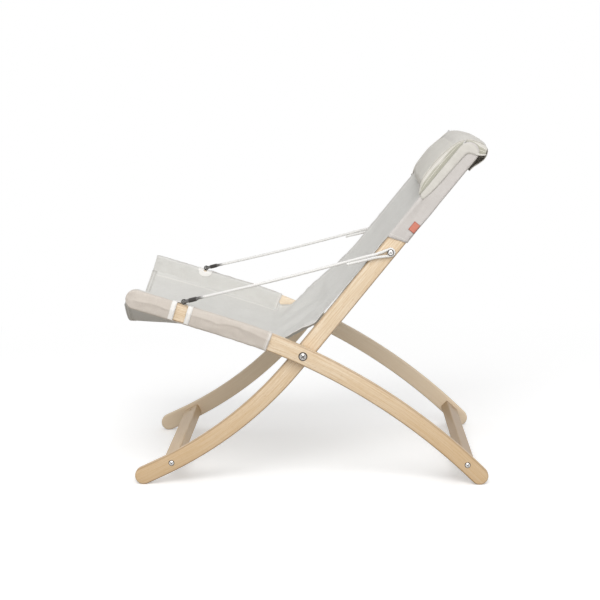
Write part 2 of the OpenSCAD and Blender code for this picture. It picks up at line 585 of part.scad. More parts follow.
// Its flap goes over the top of the back and hangs behind it, standing off at the top. These are
// places past the pillow's end and across the back bars.
flap_line = [[soft_gap + cloth_t / 2, pillow_back_v + pillow_rim], [10, 17], [18, 6], [24, -6], [26, -19],
             [25, -31], [19, -41], [7, -44], [-11, -40], [-31, -34], [-49, -30]];
module pillow_flap() color(canvas) sheet([for (p = flap_line)
    [for (u = across(10)) concat(pillow_w / 2 * u, on_bar(BACK, pillow_to + p.x, p.y))]], cloth_t);

// A blank cloth tag on the left back sleeve
module side_tag() color([0.88, 0.52, 0.45]) in_bar(BACK, back_x)
    translate([tag_at, -tag_back, sleeve_t / 2 + soft_gap]) linear_extrude(tag_t)
        square([tag_l, tag_w], center = true);
tag_at = 425;
tag_back = 12;
tag_l = 24;
tag_w = 17;
tag_t = 0.8;

module right() mirror([1, 0, 0]) children();
back_bar();  // back_bar_left
right() back_bar();  // back_bar_right
seat_bar();  // seat_bar_left
right() seat_bar();  // seat_bar_right
stretcher(BACK, front_cross, back_in);  // front_stretcher
stretcher(SEAT, rear_cross, seat_in);  // rear_stretcher
leg_bolts(BACK, front_cross, back_in);  // front_stretcher_bolts
leg_bolts(SEAT, rear_cross, seat_in);  // rear_stretcher_bolts
barrel_nuts(BACK, front_cross, back_in);  // front_barrel_nuts
barrel_nuts(SEAT, rear_cross, seat_in);  // rear_barrel_nuts
dowels(BACK, front_cross, back_in);  // front_dowels
dowels(SEAT, rear_cross, seat_in);  // rear_dowels
pivot_bolts();
pivot_spacers();
pivot_washers();
pivot_nuts();
seat_sleeve();  // seat_sleeve_left
right() seat_sleeve();  // seat_sleeve_right
back_sleeve();  // back_sleeve_left
right() back_sleeve();  // back_sleeve_right
seat_panel();
bend_panel();
back_panel();
front_hem();
slot_tape();  // slot_tape_left
right() slot_tape();  // slot_tape_right
head_pillow();
pillow_flap();
side_tag();
arm_rope();  // arm_rope_left
right() arm_rope();  // arm_rope_right
rope_screws();
rope_washers();
rope_eyes();
rope_whippings();
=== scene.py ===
"""Looks of the folding deck chair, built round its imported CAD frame.

Places are worked out in millimetres and become metres through MM. The sitter faces -Y, and +X is
the sitter's left, which is the side that the photograph shows."""
import math

import bmesh
import bpy
import numpy as np
from mathutils import Matrix, Vector, noise


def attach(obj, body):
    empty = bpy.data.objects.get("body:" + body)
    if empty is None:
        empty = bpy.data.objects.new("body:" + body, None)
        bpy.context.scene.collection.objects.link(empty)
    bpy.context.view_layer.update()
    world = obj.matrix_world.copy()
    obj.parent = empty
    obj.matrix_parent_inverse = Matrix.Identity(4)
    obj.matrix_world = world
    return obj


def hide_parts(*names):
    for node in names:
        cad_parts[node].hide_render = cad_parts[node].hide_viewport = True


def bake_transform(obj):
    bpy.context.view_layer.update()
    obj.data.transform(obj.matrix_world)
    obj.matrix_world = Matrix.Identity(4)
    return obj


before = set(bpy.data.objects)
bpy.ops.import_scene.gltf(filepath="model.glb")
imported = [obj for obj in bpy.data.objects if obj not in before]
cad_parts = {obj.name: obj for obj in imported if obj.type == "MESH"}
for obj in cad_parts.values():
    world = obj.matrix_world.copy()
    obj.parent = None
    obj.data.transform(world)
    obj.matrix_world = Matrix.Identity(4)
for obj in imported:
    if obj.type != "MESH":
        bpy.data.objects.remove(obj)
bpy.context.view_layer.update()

# The camera stands on the chair's left, a little above the seat. Its place, tilt and lens are those
# at which the chair's edges and feet lie where the photograph has them.
pitch, yaw, roll = (math.radians(a) for a in (9.088, -1.627, -0.857))
ahead = Vector((-math.cos(pitch) * math.cos(yaw), math.cos(pitch) * math.sin(yaw), -math.sin(pitch)))
level = Vector((math.sin(yaw), math.cos(yaw), 0))
rise = level.cross(ahead)
right = level * math.cos(roll) + rise * math.sin(roll)
up = rise * math.cos(roll) - level * math.sin(roll)
lens = bpy.data.cameras.new("camera")
lens.sensor_width, lens.lens = 36.0, 87.02
camera = bpy.data.objects.new("camera", lens)
turned = Matrix((right, up, -ahead)).transposed().to_4x4()
camera.matrix_world = Matrix.Translation((3.6195, 0.0924, 0.9778)) @ turned
bpy.context.scene.collection.objects.link(camera)
bpy.context.scene.camera = camera

# The arm ropes: two braided cords that serve as arm rests and stop the open chair from spreading.
# Each is bound to a screw eye in the seat bar and runs up to a loop round a screw in the back bar,
# with its tail laid back beneath it.
MM = 0.001
BAR_W, BAR_T = 42.0, 21.0
PIVOT = (2.9, 312.79)


class Bar:
    """A bar's middle line: a foot, a bend and a straight stretch. s runs along it from the end of
    the bend, positive on the straight stretch, and v runs across it. The pivot is at s = pivot"""

    def __init__(self, slope, straight, radius, bend, foot, pivot):
        self.slope, self.straight, self.radius = math.radians(slope), straight, radius
        self.bend, self.foot, self.pivot = math.radians(bend), foot, pivot
        self.end = -radius * self.bend - foot

    def turn(self, s):
        return 0.0 if s >= 0 else min(-s / self.radius, self.bend)

    def flat(self, s, v=0.0):
        t = self.turn(s)
        rest = s if s >= 0 else s + self.radius * t
        return (-self.radius * math.sin(t) + rest * math.cos(t) + v * math.sin(t),
                self.radius * (1 - math.cos(t)) - rest * math.sin(t) + v * math.cos(t))

    def at(self, x, s, v=0.0):
        a, b = self.flat(s, v)
        a0, b0 = self.flat(self.pivot)
        a, b, c, d = a - a0, b - b0, math.cos(self.slope), math.sin(self.slope)
        return np.array((x, PIVOT[0] + a * c - b * d, PIVOT[1] + a * d + b * c)) * MM

    def along(self, s):
        a = self.slope - self.turn(s)
        return np.array((0, math.cos(a), math.sin(a)))

    def across(self, s):
        a = self.slope - self.turn(s)
        return np.array((0, -math.sin(a), math.cos(a)))


BACK = Bar(slope=50.4, straight=655 - BAR_W / 2, radius=925, bend=25.7, foot=45, pivot=29.5)
SEAT = Bar(slope=180 - 17.9, straight=244 - BAR_W / 2, radius=1450, bend=27.4414, foot=0, pivot=-186)
SEAT_X, BACK_X = 289.5, 265.0
SEAT_IN, BACK_IN, BACK_OUT = SEAT_X - BAR_T / 2, BACK_X - BAR_T / 2, BACK_X + BAR_T / 2

ROPE_D, WASHER_T, PLAY = 7.0, 1.0, 0.3
EYE_S, EYE_RISE = 117.0, 6.9
SCREW_S, SCREW_V = 346, -6
rope_top = np.array((BACK_OUT + WASHER_T + PLAY + ROPE_D / 2, *(BACK.at(0, SCREW_S, SCREW_V)[1:] / MM)))
rope_low = np.array((SEAT_X, *(SEAT.at(0, EYE_S, -BAR_W / 2 - EYE_RISE)[1:] / MM)))


def unit(v):
    return v / np.linalg.norm(v)


rope_run = unit(rope_top - rope_low)


def rope_route():
    """Places along the rope's middle: round the eye, up, round the screw and back as the tail"""
    pair, turn, loop, slack, tail = 3.65, 5.1, 8.0, 2.5, (36, 53, 70, 87, 105)
    over = unit(np.cross((1, 0, 0), rope_run))

    def low(ahead, side):
        return rope_low + ahead * rope_run + np.array((side, 0, 0))

    def top(back, rise):
        return rope_top - back * rope_run + rise * over

    points = [low(34, pair), low(22, 4.5)]
    points += [low(turn - turn * math.cos(math.radians(a)), turn * math.sin(math.radians(a)))
               for a in range(90, -91, -30)]
    points += [low(22, -4.5), low(34, -pair)]
    a, b = low(44, -pair), top(60, pair)
    points += [a + (b - a) * f - np.array((0, 0, slack)) * math.sin(math.pi * f)
               for f in np.linspace(0, 1, 18)]
    points += [top(48, pair), top(36, pair)]
    points += [top(-loop * math.cos(math.radians(a)), loop * math.sin(math.radians(a)))
               for a in range(112, -113, -28)]
    return np.array(points + [top(d, -pair) for d in tail])


def lengths(points):
    return np.concatenate([[0], np.cumsum(np.linalg.norm(np.diff(points, axis=0), axis=1))])


def smooth_line(points, step=None):
    """A smooth line through the points, at even steps, or with 20 places for each stretch"""
    points = np.array(points, float)
    p = np.concatenate([[2 * points[0] - points[1]], points, [2 * points[-1] - points[-2]]])
    out = []
    for a, b, c, d in zip(p, p[1:], p[2:], p[3:]):
        for f in np.arange(0, 1, 0.05):
            out.append(0.5 * (2 * b + (c - a) * f + (2 * a - 5 * b + 4 * c - d) * f ** 2
                              + (3 * b - a - 3 * c + d) * f ** 3))
    out = np.array([*out, p[-2]])
    if step is None:
        return out
    l = lengths(out)
    even = np.linspace(0, l[-1], max(2, int(l[-1] / step)) + 1)
    return np.stack([np.interp(even, l, out[:, k]) for k in range(out.shape[1])], axis=1)


def tube_rows(line, radius, sides):
    """Rings round a line. radius may be a function of the ring and the angle"""
    rows = []
    for i, (p, d) in enumerate(zip(line, np.gradient(line, axis=0))):
        u = unit(np.cross(unit(d), (1, 0.35, 0.6)))
        w = np.cross(unit(d), u)
        angles = [2 * math.pi * k / sides for k in range(sides)]
        rows.append([p + (radius(i, a) if callable(radius) else radius) * (math.cos(a) * u + math.sin(a) * w)
                     for a in angles])
    return rows


def made(name, verts, faces, uvs, paint):
    """A smooth mesh with its surface laid out flat as UVs"""
    mesh = bpy.data.meshes.new(name)
    mesh.from_pydata([tuple(v) for v in verts], [], faces)
    layer = mesh.uv_layers.new(name="UVMap")
    layer.data.foreach_set("uv", [c for face in uvs for uv in face for c in uv])
    mesh.polygons.foreach_set("use_smooth", [True] * len(faces))
    mesh.materials.append(paint)
    obj = bpy.data.objects.new(name, mesh)
    bpy.context.scene.collection.objects.link(obj)
    return obj


def grid(name, rows, paint, wrap=False, cap_first=False, cap_last=False, shift=0.0):
    """A sheet over rows of points, or a tube if the rows close. Its UVs are lengths in metres"""
    rows = np.array(rows, float)
    n, m = rows.shape[:2]
    closed = np.concatenate([rows, rows[:, :1]], axis=1) if wrap else rows
    us = np.mean([lengths(r) for r in closed[:: max(1, n // 8)]], axis=0) + shift
    vs = np.mean([lengths(closed[:, j]) for j in range(0, m, max(1, m // 8))], axis=0)
    faces, uvs = [], []
    for i in range(n - 1):
        for j in range(m if wrap else m - 1):
            k = (j + 1) % m
            faces.append((i * m + j, i * m + k, (i + 1) * m + k, (i + 1) * m + j))
            uvs.append(((us[j], vs[i]), (us[j + 1], vs[i]), (us[j + 1], vs[i + 1]), (us[j], vs[i + 1])))
    for there, i in ((cap_first, 0), (cap_last, n - 1)):
        if there:
            ring = [i * m + j for j in range(m)]
            faces.append(tuple(reversed(ring)) if i == 0 else tuple(ring))
            uvs.append([(us[j], vs[i]) for j in (reversed(range(m)) if i == 0 else range(m))])
    return made(name, rows.reshape(-1, 3), faces, uvs, paint)


class Value:
    """A socket in a material. An expression on values adds its Math nodes"""

    def __init__(self, tree, socket):
        self.tree, self.socket = tree, socket

    @staticmethod
    def plug(socket, value):
        """Links a value to the socket, or sets the socket to a number or a colour"""
        if isinstance(value, Value):
            value.tree.links.new(value.socket, socket)
        elif socket.type == "RGBA":
            socket.default_value = (*value[:3], 1)
        else:
            socket.default_value = value

    @staticmethod
    def node(tree, kind, settings, sockets, out=0):
        """Adds a node of that kind, and gives one of its outputs, or each one that a tuple names"""
        n = tree.nodes.new("ShaderNode" + kind)
        for name, value in settings.items():
            setattr(n, name, value)
        for key, value in sockets.items():
            Value.plug(n.inputs[key], value)
        if isinstance(out, tuple):
            return [Value(tree, n.outputs[k]) for k in out]
        return Value(tree, n.outputs[out])

    @staticmethod
    def math(operation, *values):
        tree = next(v.tree for v in values if isinstance(v, Value))
        return Value.node(tree, "Math", {"operation": operation}, dict(enumerate(values)))

    def __add__(self, o): return Value.math("ADD", self, o)
    def __radd__(self, o): return Value.math("ADD", o, self)
    def __sub__(self, o): return Value.math("SUBTRACT", self, o)
    def __rsub__(self, o): return Value.math("SUBTRACT", o, self)
    def __mul__(self, o): return Value.math("MULTIPLY", self, o)
    def __rmul__(self, o): return Value.math("MULTIPLY", o, self)
    def __truediv__(self, o): return Value.math("DIVIDE", self, o)
    def __rtruediv__(self, o): return Value.math("DIVIDE", o, self)
    def __lt__(self, o): return Value.math("LESS_THAN", self, o)
    def floor(self): return Value.math("FLOOR", self)
    def fract(self): return Value.math("FRACT", self)
    def abs(self): return Value.math("ABSOLUTE", self)
    def sin(self): return Value.math("SINE", self)
    def root(self): return Value.math("SQRT", self)
    def least(self, o): return Value.math("MINIMUM", self, o)
    def most(self, o): return Value.math("MAXIMUM", self, o)

    def step(self, low, high):
        """0 below low, 1 above high and smooth between them"""
        return Value.node(self.tree, "MapRange", {"interpolation_type": "SMOOTHSTEP"},
                          {"Value": self, "From Min": low, "From Max": high})


def places(tree, kind):
    """The UV or Object coordinates, as three values"""
    where = Value.node(tree, "TexCoord", {}, {}, kind)
    return Value.node(tree, "SeparateXYZ", {}, {0: where}, ("X", "Y", "Z"))


def point(x, y, z=0.0):
    return Value.node(x.tree, "CombineXYZ", {}, {0: x, 1: y, 2: z})


def mottle(where, scale, detail=2.0, rough=0.5, warp=0.0):
    """Uneven patches, from 0 to 1"""
    return Value.node(where.tree, "TexNoise", {}, {"Vector": where, "Scale": scale, "Detail": detail,
                                                   "Roughness": rough, "Distortion": warp})


def blend(share, a, b):
    """The colour a where share is 0 and b where it is 1"""
    return Value.node(share.tree, "Mix", {"data_type": "RGBA"}, {0: share, 6: a, 7: b}, 2)


def rgb(*seen):
    """A colour as seen on the screen, from 0 to 255, as linear light"""
    return tuple(c / 12.92 if c <= 0.04045 else ((c + 0.055) / 1.055) ** 2.4 for c in (s / 255 for s in seen))


def material(name, paint):
    """paint(tree) gives the surface's inputs by name, and its relief in metres as "height\""""
    m = bpy.data.materials.new(name)
    m.use_nodes = True
    tree = m.node_tree
    surface = next(n for n in tree.nodes if n.type == "BSDF_PRINCIPLED")
    inputs = paint(tree)
    if "height" in inputs:
        inputs["Normal"] = Value.node(tree, "Bump", {}, {"Distance": 1.0, "Height": inputs.pop("height")})
    for key, value in inputs.items():
        Value.plug(surface.inputs[key], value)
    return m


def rope_paint(tree):
    """Three pale strands, shaded where they meet, with loose yarn, bound at the eye, and dark over the first 80
    mm or so round the eye
    """
    u, v, _ = places(tree, "UV")
    lay = ((u / 0.0073 + v / 0.0047) * math.pi).sin().abs()
    yarn = mottle(point(u * 300, v * 1200), 1.0, 2.0)
    color = blend(yarn.step(0.3, 0.7) * 0.5, rgb(240, 239, 237), rgb(212, 211, 208))
    color = blend((1 - lay.step(0.0, 0.4)) * 0.7, color, rgb(152, 151, 149))
    color = blend((1 - v.step(0.078, 0.094)) * 0.85, color, rgb(46, 42, 39))
    return {"Base Color": color, "Roughness": 0.75, "height": yarn * 0.0001}


rope_fibre = material("rope_fibre", rope_paint)
# these places, one from the eye and one from the screw, bound the rope's slack stretch
SLACK_FROM, SLACK_TO = rope_low + 190 * rope_run, rope_top - 18 * rope_run


def arm_rope(side):
    line = smooth_line(rope_route(), 1.6)
    line[:, 0] *= side
    l = lengths(line)
    name = "left" if side > 0 else "right"

    def lobes(i, a):
        """Half the rope's width, with three strands that wind round it"""
        return ROPE_D / 2 * (0.93 + 0.08 * abs(math.cos(1.5 * a + l[i] * math.pi / 14 * side)))

    rows = np.array(tube_rows(line, lobes, 18)) * MM
    obj = grid(f"rope_{name}", rows, rope_fibre, wrap=True, cap_first=True, cap_last=True)
    SLACK_FROM * MM
    SLACK_TO * MM
    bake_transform(obj)
    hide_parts(f"arm_rope_{name}")
    path = line[::3] * MM
    if (len(line) - 1) % 3:
        path = np.concatenate([path, line[-1:] * MM])


arm_rope(1)
arm_rope(-1)

# The seat and back bars: beech boards bent under steam, planed to one section, with rounded edges
# and half round ends, oiled. Each end on the floor is worn flat. The right frame's bars are painted
# paler, as painted light in their shade.
EDGE_R = 4.5


def wood_of(u, v, rise, seed):
    """Beech: streaks along v, slow changes of tone, short dark flecks, and painted shade that makes it darker
    and warmer near the floor
    """
    streaks = mottle(point(u * 420, v * 9, seed), 1.0, 4.0, 0.6, 0.4)
    figure = mottle(point(u * 38, v * 2.2, seed + 5), 1.0, 3.0, 0.55, 1.2)
    rings = ((figure * 9).fract() - 0.5).abs() * 2
    flecks = mottle(point(u * 900, v * 110, seed + 9), 1.0, 1.0, 0.5).step(0.60, 0.74)
    tone = mottle(point(u * 12, v * 4, seed + 3), 1.0, 2.0, 0.5)
    color = blend(streaks.step(0.34, 0.66), rgb(215, 190, 155), rgb(240, 226, 205))
    color = blend(rings * 0.34, color, rgb(206, 177, 135))
    color = blend(flecks * 0.6, color, rgb(176, 138, 96))
    color = blend(tone.step(0.35, 0.75) * 0.3, color, rgb(218, 189, 150))
    # painted shade: darker and warmer low down, towards the floor
    color = blend((1 - rise.step(0.0, 0.42)) * 0.7, color, rgb(198, 165, 120))
    return {"Base Color": color, "Roughness": 0.42 + streaks * 0.14, "Coat Weight": 0.12,
            "height": streaks * 0.00005 - flecks * 0.00004}


def beech(tree):
    u, v, _ = places(tree, "UV")
    x, _, z = places(tree, "Object")
    look = wood_of(u, v, z, 0.0)
    # painted light: the right frame's bars are made paler where they stand in shade
    pale = (1 - x.step(-0.25, -0.22)) * 0.55
    look["Base Color"] = blend(pale, look["Base Color"], rgb(252, 236, 212))
    # painted shade: a thin dark line along each rounded edge of the bars
    edge_shade = (1 - (u.abs() - 0.020).abs() / 0.0032).most(0) * 0.6
    look["Base Color"] = blend(edge_shade, look["Base Color"], rgb(140, 104, 66))
    return look


wood = material("wood", beech)


def outline(b, inset):
    """Points round a bar's side view, as places (s, v), from the foot up the front and back down"""
    r = BAR_W / 2 - inset
    low = -b.radius * b.bend
    stops = list(np.linspace(b.end, low, 3)[:-1]) if b.foot else []
    stops += list(np.linspace(low, 0, 60)) + list(np.linspace(0, b.straight, 24)[1:])
    half_turn = np.linspace(0, math.pi, 17)[1:-1]
    top = [(b.straight + r * math.sin(a), r * math.cos(a)) for a in half_turn]
    foot = [(b.end - r * math.sin(a), -r * math.cos(a)) for a in half_turn]
    return [(s, r) for s in stops] + top + [(s, -r) for s in reversed(stops)] + foot


def bar(name, b, x, side, body):
    """A bar from outlines side by side, each with its inset, place across and way round the edge"""
    quarter, half_t = [math.pi / 2 * k / 5 for k in range(6)], BAR_T / 2
    layers = [(EDGE_R * (1 - math.sin(a)), half_t - EDGE_R + EDGE_R * math.cos(a), EDGE_R * a) for a in quarter]
    layers += [(i, -d, BAR_T + EDGE_R * (math.pi - 2) - l) for i, d, l in reversed(layers)]
    flat = outline(b, EDGE_R)
    n = len(flat)
    verts, marks = [], []
    for inset, out, way in layers:
        for (s, v), (_, v0) in zip(outline(b, inset), flat):
            p = b.at(x + out, s, v)
            p[2] = max(p[2], 0)
            verts.append(p * (side, 1, 1))
            marks.append(((v0 + way * (1 if v0 >= 0 else -1)) * MM, s * MM))
    faces, uvs = [], []
    for i in range(len(layers) - 1):
        for j in range(n):
            k = (j + 1) % n
            faces.append((i * n + j, (i + 1) * n + j, (i + 1) * n + k, i * n + k))
            uvs.append([marks[q] for q in faces[-1]])
    # both flat sides, as strips between mirror places, from the middle of the low end
    for i in (0, len(layers) - 1):
        ring = [i * n + (n - 8 + q) % n for q in range(n)]
        for k in range(n // 2):
            f = list(dict.fromkeys((ring[k], ring[k + 1], ring[n - k - 1], ring[(n - k) % n])))
            faces.append(tuple(f if i == 0 else reversed(f)))
            uvs.append([(flat[q % n][1] * MM + 0.1 * (i > 0), marks[q][1]) for q in faces[-1]])
    if side < 0:
        faces = [tuple(reversed(f)) for f in faces]
        uvs = [list(reversed(q)) for q in uvs]
    obj = made(name + "_wood", verts, faces, uvs, wood)
    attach(obj, body)
    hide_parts(name)


bar("back_bar_left", BACK, BACK_X, 1, "back_frame")
bar("back_bar_right", BACK, BACK_X, -1, "back_frame")
bar("seat_bar_left", SEAT, SEAT_X, 1, "seat_frame")
bar("seat_bar_right", SEAT, SEAT_X, -1, "seat_frame")


# The stretchers and their dowels: flat beech slats between the legs of each frame, which keep their
# CAD shapes. The rear one is painted darker, as painted shade beneath the seat.
def beech_across(tree):
    x, y, z = places(tree, "Object")
    look = wood_of(y + z * 0.7, x, z, 30.0)
    # painted shade: the rear stretcher is darkened as if in the shadow under the seat
    look["Base Color"] = blend(y.step(0.1, 0.2) * 0.55, look["Base Color"], rgb(134, 106, 75))
    return look


def painted(paint, *nodes):
    for node in nodes:
        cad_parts[node].data.materials.clear()
        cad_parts[node].data.materials.append(paint)


painted(material("cross_wood", beech_across),
        "front_stretcher", "rear_stretcher", "front_dowels", "rear_dowels")

# The steel fittings: zinc plated bolts with domed cross heads, barrel nuts, cap nuts, washers, and
# black screw eyes. They keep their CAD shapes. A head's rim and cross are darkened with painted shade.
STEEL, PIVOT_STEEL, SCREW_STEEL, BLACKENED = (rgb(*c) for c in (
    (208, 207, 205), (178, 176, 173), (228, 227, 225), (60, 57, 54)))
LEG_HEADS = [(BACK.at(0, BACK.end + 75), 7.0), (SEAT.at(0, SEAT.end + 40), 7.0)]
PIVOT_HEADS, SCREW_HEADS = [(SEAT.at(0, SEAT.pivot), 10.5)], [(BACK.at(0, SCREW_S, SCREW_V), 7.5)]


def metal(color, rough, heads=()):
    """heads are the middles of domed heads, in metres, and their radii"""
    def paint(tree):
        x, y, z = places(tree, "Object")
        worn = mottle(point(x, y, z), 400, 3.0, 0.6)
        shade = color
        for (_, cy, cz), r in heads:
            away = ((y - cy) * (y - cy) + (z - cz) * (z - cz)).root() / (r * MM)
            # painted shade: a dark ring round the rim of each domed head
            shade = blend(away.step(0.7, 0.84) * (away < 1.3), shade, rgb(66, 60, 56))
            # painted shade: dark lines in each head's cross recess
            arms = ((y - cy) * 0.8 + (z - cz) * 0.6).abs().least(((y - cy) * 0.6 - (z - cz) * 0.8).abs())
            cross = (1 - (arms / (r * MM)).step(0.08, 0.16)) * (away < 0.52)
            shade = blend(cross * 0.8, shade, rgb(52, 48, 46))
        return {"Base Color": shade, "Metallic": 1.0, "Roughness": rough + worn * 0.15,
                "height": worn * 0.00002}
    return paint


painted(material("bright", metal(STEEL, 0.24)),
        "front_barrel_nuts", "rear_barrel_nuts", "pivot_washers", "pivot_nuts", "rope_washers")
painted(material("leg_steel", metal(STEEL, 0.24, LEG_HEADS)), "front_stretcher_bolts", "rear_stretcher_bolts")
painted(material("pivot_steel", metal(PIVOT_STEEL, 0.28, PIVOT_HEADS)), "pivot_bolts")
painted(material("screw_steel", metal(SCREW_STEEL, 0.2, SCREW_HEADS)), "rope_screws")
painted(material("dark", metal(BLACKENED, 0.4)), "rope_eyes")


# The spacers: two white nylon rings, turned from rod, that sit on the pivot bolts and keep the seat
# frame from rubbing on the back frame. They keep their CAD shapes.
def nylon_paint(tree):
    grain = mottle(point(*places(tree, "Object")), 900, 2.0)
    return {"Base Color": rgb(232, 231, 226), "Roughness": 0.4 + grain * 0.1, "height": grain * 0.00002}


painted(material("nylon", nylon_paint), "pivot_spacers")


# The ropes' bindings: close turns of waxed black thread that hold each rope's doubled end beside
# its screw eye. They keep their CAD shapes.
def binding_paint(tree):
    x, y, z = places(tree, "Object")
    turns = mottle(point(x, y * 5, z * 5), 500, 2.0)
    return {"Base Color": blend(turns, rgb(34, 32, 31), rgb(62, 58, 54)), "Roughness": 0.7,
            "height": turns * 0.0003}


painted(material("binding", binding_paint), "rope_whippings")

# The sling: one length of undyed canvas from the front hem over the seat, through the free bend and
# up the back. Its edges are sewn into the sleeves with a margin tucked inside, and between the seat
# and the back sleeves they hang free. The slack cloth sags between the bars.
CLOTH_T, WRAP, SEAM_GAP = 1.2, 1.6, 0.3
SLEEVE_W, SLEEVE_T = BAR_W + 2 * WRAP, BAR_T + 2 * WRAP
SEAM_V = SLEEVE_W / 2 - 3
SEAT_SEAM, BACK_SEAM = SEAT_IN - WRAP - SEAM_GAP, BACK_IN - WRAP - SEAM_GAP
SEAT_END, SEAT_START = 250.0, -100.0
BACK_START, BACK_END = 378.0, 661.0
HEM_SAG, SEAT_SAG, BACK_SAG = 82.0, 40.0, 16.0
CANVAS, CANVAS_LOW = rgb(226, 225, 221), rgb(210, 208, 203)
# the free edges, as places along and across the back bars. The right one stands off more
FREE_EDGE = {1: ((6, 85), (14, 72), (33, 59), (77, 42), (101, 28.5), (162, 25), (240, 22.4)),
             -1: ((2, 79), (16, 62), (32, 52), (86, 47), (152, 37), (195, 28), (258, 22.4))}
# the bend ends at this place along the back, and the cloth touches the bars' fronts here
MEET, ON_BAR = 140.0, BAR_W / 2 + 0.9
MARGIN_W = 17


def weave(u, v, pitch):
    """The height of a plain weave, from 0 to 1, with uneven threads"""
    a = u / pitch + mottle(point(u, v), 160, 1.0) * 0.5
    b = v / pitch + mottle(point(v, u), 160, 1.0) * 0.5
    over = ((a.floor() + b.floor()) * 0.5).fract() * 2
    warp, weft = (a * math.pi).sin().abs(), (b * math.pi).sin().abs()
    return warp * over + weft * (1 - over)


def cloth(base, low, u, v, pitch=0.0013, relief=0.00022):
    """Woven cotton with thick places in its threads, in the colours base and low"""
    threads = weave(u, v, pitch)
    slubs = mottle(point(u * 900, v * 60), 1.0, 2.0) + mottle(point(u * 60, v * 900), 1.0, 2.0)
    slow = mottle(point(u, v, 4.0), 14, 3.0, 0.6)
    color = blend((slubs - 0.6) * 0.8 + (slow - 0.5) * 0.9, base, low)
    color = blend((1 - threads) * 0.2, color, low)
    return {"Base Color": color, "Roughness": 0.88, "Sheen Weight": 0.1,
            "height": threads * relief + slow * 0.0022 + slubs * 0.0001}


def stitches(along, across, at, pitch=0.0042):
    """A row of stitches that lies at that distance across"""
    return (1 - (across - at).abs() / 0.0009).most(0) * ((along / pitch).fract() < 0.72)


def sewn(look, share, color=rgb(240, 237, 230), rise=0.0004):
    look["Base Color"] = blend(share, look["Base Color"], color)
    look["height"] = look["height"] + share * rise
    return look


def canvas_paint(half):
    """The sling's cloth, half its half width. A welted seam lies along each edge"""
    rows, seam = (0.004, 0.009, 0.028, 0.034), 0.031

    def paint(tree):
        u, v, _ = places(tree, "UV")
        edge = half - u.abs()
        look = cloth(CANVAS, CANVAS_LOW, u, v)
        shaded = (1 - (edge - seam - 0.002).abs() / 0.0018).most(0) * 0.7
        look["Base Color"] = blend(shaded, look["Base Color"], rgb(192, 189, 183))
        share = sum(stitches(v, edge, at) for at in rows) + (1 - (edge - seam).abs() / 0.0016).most(0)
        return sewn(look, share.least(1), rgb(250, 248, 243))
    return paint


def thick(obj, t, offset=0.0):
    """Gives a sheet its thickness"""
    m = obj.modifiers.new("thickness", "SOLIDIFY")
    m.thickness, m.offset, m.use_even_offset = t * MM, offset, False
    return obj


def wave(x, y, seed, size):
    """A smooth, uneven wave of about that size"""
    return size * noise.noise(Vector((x, y, seed)))


def sag_at(s):
    """How far the seat's middle hangs below its edges"""
    towards_hem = max(0, s - 100) / (SEAT_END - 100)
    return SEAT_SAG + (HEM_SAG - SEAT_SAG) * towards_hem - 20 * (max(0, -s) / 100) ** 1.5


def seat_point(s, u):
    """A place of the seat's cloth, u from -1 at the right seam to 1 at the left one"""
    hang, f = 1 - u * u, max(0, s) / SEAT_END
    pulled = wave(s * 0.05, u * 6, 9, 1.6) * abs(u) ** 5 * (1 - abs(u) ** 40)
    pulled = wave(s * 0.011, u * 1.4, 3, 4.0) * hang + pulled
    ahead = 2.2 * (1 - u) - (10 + 4 * u) * hang
    return SEAT.at(SEAT_SEAM * u, s + ahead * f ** 4, SEAM_V + sag_at(s) * hang + pulled)


